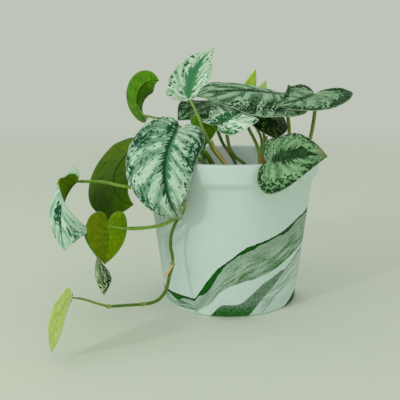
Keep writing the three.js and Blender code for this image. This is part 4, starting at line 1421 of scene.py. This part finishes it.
def rolled_leaf(base, tip, radius):
    """A cone rolled from one sheet, its outer edge standing proud as a winding seam."""
    path = np.linspace(base, tip, SPEAR_RINGS)
    _, side, up = frames_along(path)
    rounds = np.arange(SPEAR_SIDES) / SPEAR_SIDES
    points, alongs = [], []
    for i, share in enumerate(np.linspace(0, 1, SPEAR_RINGS)):
        swell = radius * max(math.sin(math.pi * share**SPEAR_BELLY), SPEAR_END)
        reach = swell * lerp(1 - SEAM_STEP, 1, rounds)[:, None]
        turns = FULL_TURN * (rounds + SEAM_TURNS * share)
        points += [*(path[i] + reach * around(turns, side[i], up[i]))]
        alongs += [share] * SPEAR_SIDES
    rolls = [*rounds] * SPEAR_RINGS + [0, 0]
    return points + [path[0], path[-1]], ring_faces(SPEAR_RINGS, SPEAR_SIDES), rolls, alongs + [0, 1]


for name, spear in SPEARS.items():
    stem = STANDING[name]
    path, radii = stalk(stem_curve(stem), stem["radius"], None)
    stem_points, stem_faces = tube(path, radii)
    leaf_points, leaf_faces, rolls, alongs = rolled_leaf(spear["base"], spear["tip"], spear["radius"])
    points, faces = joined([(stem_points, stem_faces), (leaf_points, leaf_faces)])
    finishes = [stem["finish"], spear_finish(f"{name}_leaf", spear["light"], spear["deep"])]
    kinds = [0] * len(stem_faces) + [1] * len(leaf_faces)
    piece = make_piece(f"{name}_rolled", points, faces, finishes, name, kinds)
    store(piece, "along", along_tube(path) + alongs)
    store(piece, "roll", [0] * len(stem_points) + rolls)
print("Spears", len(SPEARS))

# %% [markdown]
# ## The vine
# The oldest stem has grown long, leaned over the rim and hangs down outside, with leaf stalks
# growing out of it. Its stretches and stalks below follow the solid's own paths. Short spindles
# stand for the swellings at its nodes.

# %% Vine paths
VINE = {
    "crown": dict(
        radius=1.8, leaf=None,
        path=[(-9, -36, 78), (-9, -36, 88), (-9.2, -36.4, 95), (-12.5, -41.5, 106), (-17, -47, 113.5),
              (-21, -52.5, 115.5), (-25, -57.5, 113.5), (-27.8, -61, 108.5), (-28.8, -61.8, 102),
              (-29, -60.5, 88)]),
    "hanging": dict(
        radius=1.1, leaf=None,
        path=[(-29, -60.7, 90), (-29, -59.5, 84), (-29.8, -58, 77), (-34.5, -57.5, 69.5), (-38, -56, 61),
              (-39, -54, 52), (-38, -52.5, 44), (-38, -53, 39), (-40, -56, 32), (-41.5, -60, 25),
              (-45, -66, 20.5), (-49.5, -73, 20), (-55, -80, 21.5)]),
    "tail": dict(
        radius=0.95, leaf=None,
        path=[(-53, -77.5, 20.8), (-55, -80, 21.5), (-65.5, -91, 24.8), (-70, -96, 26.3),
              (-73, -99.5, 27.6)]),
    "end": dict(
        radius=0.7, leaf="vine_end",
        path=[(-71.5, -98, 27), (-74, -100.5, 28.6), (-78, -104, 31.3), (-83.5, -108.5, 35.2),
              (-88, -111, 37)]),
    "front_left": dict(
        radius=1.3, leaf="front_left", path=[(-17.5, -48, 114), (-21, -49.5, 120), (-26.5, -50.5, 125.5)]),
    "rolled": dict(
        radius=1.2, leaf="left_rolled",
        path=[(-29, -60, 86), (-43, -59, 89.5), (-60, -58.2, 91.5), (-70.5, -58.5, 93), (-80.5, -54.5, 94.5),
              (-90.5, -48.5, 94)]),
    "low": dict(
        radius=1.1, leaf="left_low",
        path=[(-29.5, -59, 80), (-32.6, -58.3, 74), (-37.5, -59.5, 70.3), (-43.5, -61.5, 68.1),
              (-56, -64.5, 66.5), (-67, -67, 67)]),
    "twisted": dict(
        radius=0.9, leaf="left_twisted",
        path=[(-29.2, -59.5, 82), (-38, -53.5, 69.5), (-51, -49, 64), (-69, -43, 61.5), (-82, -40, 60)]),
}
VINE_NODES = {
    (-29.5, -58.8, 80): 1.7, (-38, -52.8, 40): 1.4, (-54.5, -79.3, 21.4): 1.25,
    (-71.8, -98.4, 27.1): 1.2,
}
TWIG_SIDES = 12
NODE_LENGTH = 1.2
NODE_SHAPE = np.array([0.35, 0.85, 1.0, 0.85, 0.35])

vine_bodies, vine_line, vine_tones = [], [], []
for twig in VINE.values():
    path, radii = stalk(stem_curve(twig), twig["radius"], twig["leaf"])
    if not twig["leaf"]:
        radii = np.full(len(path), twig["radius"])
    vine_bodies.append(tube(path, radii, TWIG_SIDES))
    vine_line += list(path)
    vine_tones += [1.0 if twig["leaf"] else 0.0] * len(path)
for knot, radius in VINE_NODES.items():
    heights = np.linspace(-1, 1, len(NODE_SHAPE))[:, None]
    knot_path = np.array(knot) + heights * (0, 0, NODE_LENGTH * radius)
    vine_bodies.append(tube(knot_path, radius * NODE_SHAPE, TWIG_SIDES))
print("Bodies in the vine", len(vine_bodies))

# %% [markdown]
# ### Its skin
# Where tubes meet, a real stem swells and blends. So the tubes and the swellings are laid over each
# other and remeshed into one skin, which rounds every junction, and then smoothed a little. The
# modifiers are applied by taking the mesh they give, and the rough body is thrown away.

# %% Vine skin
VINE_VOXEL = 0.25
SMOOTH_ROUNDS = 6


def skinned(name, bodies, voxel, rounds):
    """Overlapping bodies remeshed into one smooth skin, as points and faces in millimetres."""
    points, faces = joined(bodies)
    mesh = bpy.data.meshes.new(name + "_rough")
    mesh.from_pydata(points, [], faces)
    rough = bpy.data.objects.new(name + "_rough", mesh)
    bpy.context.scene.collection.objects.link(rough)
    remesh = rough.modifiers.new("skin", "REMESH")
    remesh.mode = "VOXEL"
    remesh.voxel_size = voxel
    relax = rough.modifiers.new("relax", "SMOOTH")
    relax.iterations = rounds
    relax.factor = 0.5
    skin = rough.evaluated_get(bpy.context.evaluated_depsgraph_get()).to_mesh()
    points = [tuple(vertex.co) for vertex in skin.vertices]
    faces = [tuple(polygon.vertices) for polygon in skin.polygons]
    bpy.data.objects.remove(rough)
    return points, faces


vine_points, vine_faces = skinned("vine", vine_bodies, VINE_VOXEL, SMOOTH_ROUNDS)
print("Vine faces", len(vine_faces))

# %% [markdown]
# ### Its finish
# The vine is a darker green than the leaf stalks that grow from it, and yellowish at its nodes. Each
# point of the skin finds the nearest point of the lines that it was made from, and takes its tone.

# %% Vine finish
KNOT_FADE = (1.6, 3.2)


def vine_finish():
    finish = Finish("vine_green", IOR=1.4)
    place = finish.place()
    fibre = finish.noise(place, 0.3, 3.0, 0.6)
    ground = finish.mix(finish.attribute("twig"), rgb(90, 128, 20), rgb(126, 168, 52))
    mottled = finish.mix(fibre.step(0.5, 0.7) * 0.5, ground, rgb(66, 98, 14))
    finish.colour(finish.mix(finish.attribute("knot") * 0.4, mottled, rgb(200, 190, 100)))
    finish.roughness(0.42 + 0.12 * fibre)
    finish.relief(finish.noise(place, 1.2, 3.0), 0.15)
    return finish.material


vine = make_piece("vine_stem", vine_points, vine_faces, [vine_finish()], "vine")
near_line = kdtree.KDTree(len(vine_line))
for i, point in enumerate(vine_line):
    near_line.insert(point, i)
near_line.balance()
store(vine, "twig", [vine_tones[near_line.find(point)[1]] for point in vine_points])
to_knots = np.array(vine_points)[:, None] - np.array(list(VINE_NODES))[None]
store(vine, "knot", 1 - smooth(np.min(np.linalg.norm(to_knots, axis=2), axis=1), *KNOT_FADE))
print("Points on stalks of the vine", int(sum(vine_tones)), "of", len(vine_tones))

# %% [markdown]
# ## Aerial root
# At its lowest node the vine has pushed out a short root, dry and cream like a scrap of twine. It is
# a thin tube that tapers to half its width. Its finish, which the sheaths use too, has fine lines.

# %% Root
ROOT_POINTS = [(-38, -55.9, 39.6), (-40.3, -56.4, 35.4), (-43, -57, 31.6)]
ROOT_RADIUS, ROOT_TAPER, ROOT_STEP = 0.88, 0.5, 0.3
LINE_WAVES = 44.0


def dry_finish(name, light, deep):
    finish = Finish(name)
    fibre = finish.noise(finish.place(), 0.5, 4.0, 0.65)
    lines = (finish.attribute("across") * LINE_WAVES + 2.0 * fibre).wave() * 0.5 + 0.5
    finish.colour(finish.mix((0.5 * lines + 0.6 * fibre).step(0.3, 0.85), deep, light))
    finish.roughness(0.7 + 0.2 * fibre)
    finish.relief(lines, 0.2)
    return finish.material


root_path = catmull(ROOT_POINTS, ROOT_STEP)
root_radii = ROOT_RADIUS * (1 - ROOT_TAPER * np.linspace(0, 1, len(root_path)) ** 2)
root_points, root_faces = tube(root_path, root_radii, TWIG_SIDES)
root = make_piece(
    "aerial_root_dry", root_points, root_faces,
    [dry_finish("root_cream", rgb(255, 238, 192), rgb(232, 198, 140))], "aerial_root")
store(root, "across", [0.5] * len(root_points))
print("Root rings", len(root_path))

# %% [markdown]
# ## Sheaths
# Round some petioles sit the papery sheaths that once wrapped the young leaf; they dry to straw and
# brown. A sheath is a strip bent half round its stem and run along part of it, thin, a little flared
# at the top and ragged at its edges. It has an inner and an outer layer, closed along all four sides.

# %% Sheath strip
SHEATH_WRAP = 190
SHEATH_COLUMNS = 16
SHEATH_LAYERS = (0.15, 0.6)
SHEATH = {"gap": 0.35, "flare": 0.5, "ragged": 0.25, "narrowing": 0.55, "foot": 0.2, "foot_pace": 6}


def strip_faces(rows, columns):
    """Faces of two layers of quads, with the gap between them closed all round."""
    wide, count = columns + 1, rows * (columns + 1)
    cells = [row * wide + i for row in range(rows - 1) for i in range(columns)]
    faces = [(a, a + wide, a + wide + 1, a + 1) for a in cells]
    faces += [(count + a, count + a + 1, count + a + wide + 1, count + a + wide) for a in cells]
    for row in range(rows - 1):
        left, right = row * wide, row * wide + columns
        faces.append((left, count + left, count + left + wide, left + wide))
        faces.append((right + wide, count + right + wide, count + right, right))
    for i in range(columns):
        last = (rows - 1) * wide + i
        faces.append((i, i + 1, count + i + 1, count + i))
        faces.append((count + last, count + last + 1, last + 1, last))
    return faces


def sheath_strip(path, radius, turn):
    """A thin strip wrapped round a stem, as a closed body, and how far across each point lies."""
    _, side, up = frames_along(path)
    spreads = [i / SHEATH_COLUMNS - 0.5 for i in range(SHEATH_COLUMNS + 1)]
    points, across = [], []
    for thickness in SHEATH_LAYERS:
        for i, share in enumerate(np.linspace(0, 1, len(path))):
            foot = 1 - SHEATH["foot"] * (1 - min(share * SHEATH["foot_pace"], 1))
            wrap = SHEATH_WRAP * (1 - SHEATH["narrowing"] * share**3) * foot
            for spread in spreads:
                angle = math.radians(turn + wrap * spread)
                ragged = SHEATH["ragged"] * noise.noise(Vector((path[i][2] * 0.4, spread * 5, turn)))
                reach = radius + SHEATH["gap"] + thickness + SHEATH["flare"] * share**2 + ragged
                points.append(path[i] + reach * (math.cos(angle) * side[i] + math.sin(angle) * up[i]))
                across.append(spread + 0.5)
    return points, strip_faces(len(path), SHEATH_COLUMNS), across


print("Faces of a strip of 2 rows", len(strip_faces(2, SHEATH_COLUMNS)))

# %% [markdown]
# ### Each sheath
# A sheath names its stem, the stretch that it covers as shares of the stem's length, and the side
# that it lies on, in degrees.

# %% Sheaths
SHEATHS = {
    "sheath_top": dict(stem="petiole_top", start=0.24, end=0.52, turn=200, tone="straw"),
    "sheath_shaded": dict(stem="petiole_shaded", start=0.24, end=0.38, turn=180, tone="brown"),
    "sheath_behind_left": dict(stem="petiole_behind_left", start=0.36, end=0.45, turn=180, tone="brown"),
    "sheath_spear": dict(stem="spear_short", start=0.45, end=0.6, turn=180, tone="cream"),
}
DRY = {
    # Partly the sheath's own straw, partly painted light: the straw is lifted almost to white for a sheath
    # that sits in the shade of the leaves.
    "straw": dry_finish("sheath_straw", rgb(255, 236, 150), rgb(255, 212, 108)),
    "brown": dry_finish("sheath_brown", rgb(232, 176, 92), rgb(160, 108, 46)),
    "cream": dry_finish("sheath_cream", rgb(238, 230, 170), rgb(198, 188, 112)),
}

for name, sheath in SHEATHS.items():
    stem = STANDING[sheath["stem"]]
    whole = stem_curve(stem)
    reach = np.concatenate([[0], np.cumsum(np.linalg.norm(np.diff(whole, axis=0), axis=1))])
    reach /= reach[-1]
    part = whole[(reach >= sheath["start"]) & (reach <= sheath["end"])]
    points, faces, across = sheath_strip(part, stem["radius"], sheath["turn"])
    piece = make_piece(f"{name}_paper", points, faces, [DRY[sheath["tone"]]], name)
    store(piece, "across", across)
print("Sheaths", len(SHEATHS))

# %% [markdown]
# ## Floor
# The plant stands on a plain pale floor with pale surroundings. A sky of one soft colour lights the
# plant from all sides. Far away the floor turns into a glow of that same colour, so that no horizon
# line shows.

# %% Surroundings and floor
SURROUND = rgb(206, 212, 200)
SURROUND_STRENGTH = 0.84
FLOOR_RADIUS, FLOOR_SIDES = 6000, 96
FLOOR_FADE = (200, 2200)

world = bpy.data.worlds.new("studio")
bpy.context.scene.world = world
world.use_nodes = True
sky = world.node_tree.nodes["Background"].inputs
sky["Color"].default_value = SURROUND
sky["Strength"].default_value = SURROUND_STRENGTH


def floor_finish():
    finish = Finish("floor_pale", Roughness=0.9)
    place = finish.place()
    grain = finish.noise(place, 0.02)
    finish.colour(finish.mix(grain, rgb(236, 240, 230), rgb(240, 244, 234)))
    far = finish.vector_math("LENGTH", place, output=1).step(*FLOOR_FADE)
    glow = finish.node("Emission", {"Color": SURROUND, "Strength": SURROUND_STRENGTH})
    faded = finish.node("MixShader", {0: far, 1: Wire(finish, finish.shader.outputs[0]), 2: glow})
    finish.feed(finish.tree.nodes["Material Output"].inputs[0], faded)
    return finish.material


floor_mesh = bpy.data.meshes.new("floor")
floor_turns = [FULL_TURN * i / FLOOR_SIDES for i in range(FLOOR_SIDES)]
floor_ring = [
    (FLOOR_RADIUS * MM * math.cos(turn), FLOOR_RADIUS * MM * math.sin(turn), 0) for turn in floor_turns
]
floor_mesh.from_pydata(floor_ring, [], [tuple(range(FLOOR_SIDES))])
floor_mesh.materials.append(floor_finish())
floor = bpy.data.objects.new("floor", floor_mesh)
bpy.context.scene.collection.objects.link(floor)
print("Floor radius in metres", FLOOR_RADIUS * MM)

# %% [markdown]
# ## Lamps
# Three lamps shape the plant. A small one from the left gives the leaves their shadows on the pot, a
# large soft one in front opens those shadows, and a soft one further left lights the leaves that
# hang there. All are discs, which give even, rounded shadows. Lengths and places here are in metres,
# and power is in watts.

# %% Lamps
LAMPS = {
    "key_lamp": dict(place=(-0.8, -0.85, 0.55), aim=(0, 0, 0.09), size=0.12, power=1.8),
    "front_lamp": dict(place=(0.2, -1.3, 0.45), aim=(0, 0, 0.09), size=1.0, power=1.3),
    "side_lamp": dict(place=(-1.2, -0.6, 0.5), aim=(0, 0, 0.06), size=0.7, power=1.6),
}
for name, lamp in LAMPS.items():
    data = bpy.data.lights.new(name, "AREA")
    data.shape = "DISK"
    data.size = lamp["size"]
    data.energy = lamp["power"]
    light = bpy.data.objects.new(name, data)
    light.location = lamp["place"]
    beam = Vector(lamp["aim"]) - Vector(lamp["place"])
    light.rotation_euler = beam.to_track_quat("-Z", "Y").to_euler()
    bpy.context.scene.collection.objects.link(light)
print("Lamps", len(LAMPS))

# %% [markdown]
# ## Camera
# The camera looks at the plant from the front, a little above the rim and tipped down. Its place and
# lens come from the shape of the rim: how flat its ellipse looks gives the height, and how much
# narrower the base looks gives the distance. The plant leans left, so the view is shifted a little
# that way. Its place is in metres, like those of the lamps.

# %% Camera
IMAGE_WIDTH = 400
FOCAL_PIXELS = 601.3
AXIS_PIXEL = 230
SENSOR_MM = 36
CAMERA_PLACE = (0, -0.4362, 0.1557)
TIPPED_DOWN = 10.8

camera_data = bpy.data.cameras.new("camera")
camera_data.lens = FOCAL_PIXELS / IMAGE_WIDTH * SENSOR_MM
camera_data.sensor_width = SENSOR_MM
camera_data.shift_x = (IMAGE_WIDTH / 2 - AXIS_PIXEL) / IMAGE_WIDTH
camera = bpy.data.objects.new("camera", camera_data)
camera.location = CAMERA_PLACE
camera.rotation_euler = (math.radians(90 - TIPPED_DOWN), 0, 0)
bpy.context.scene.collection.objects.link(camera)
bpy.context.scene.camera = camera
bpy.context.scene.view_settings.view_transform = "Standard"
print("Lens", round(camera_data.lens, 2))
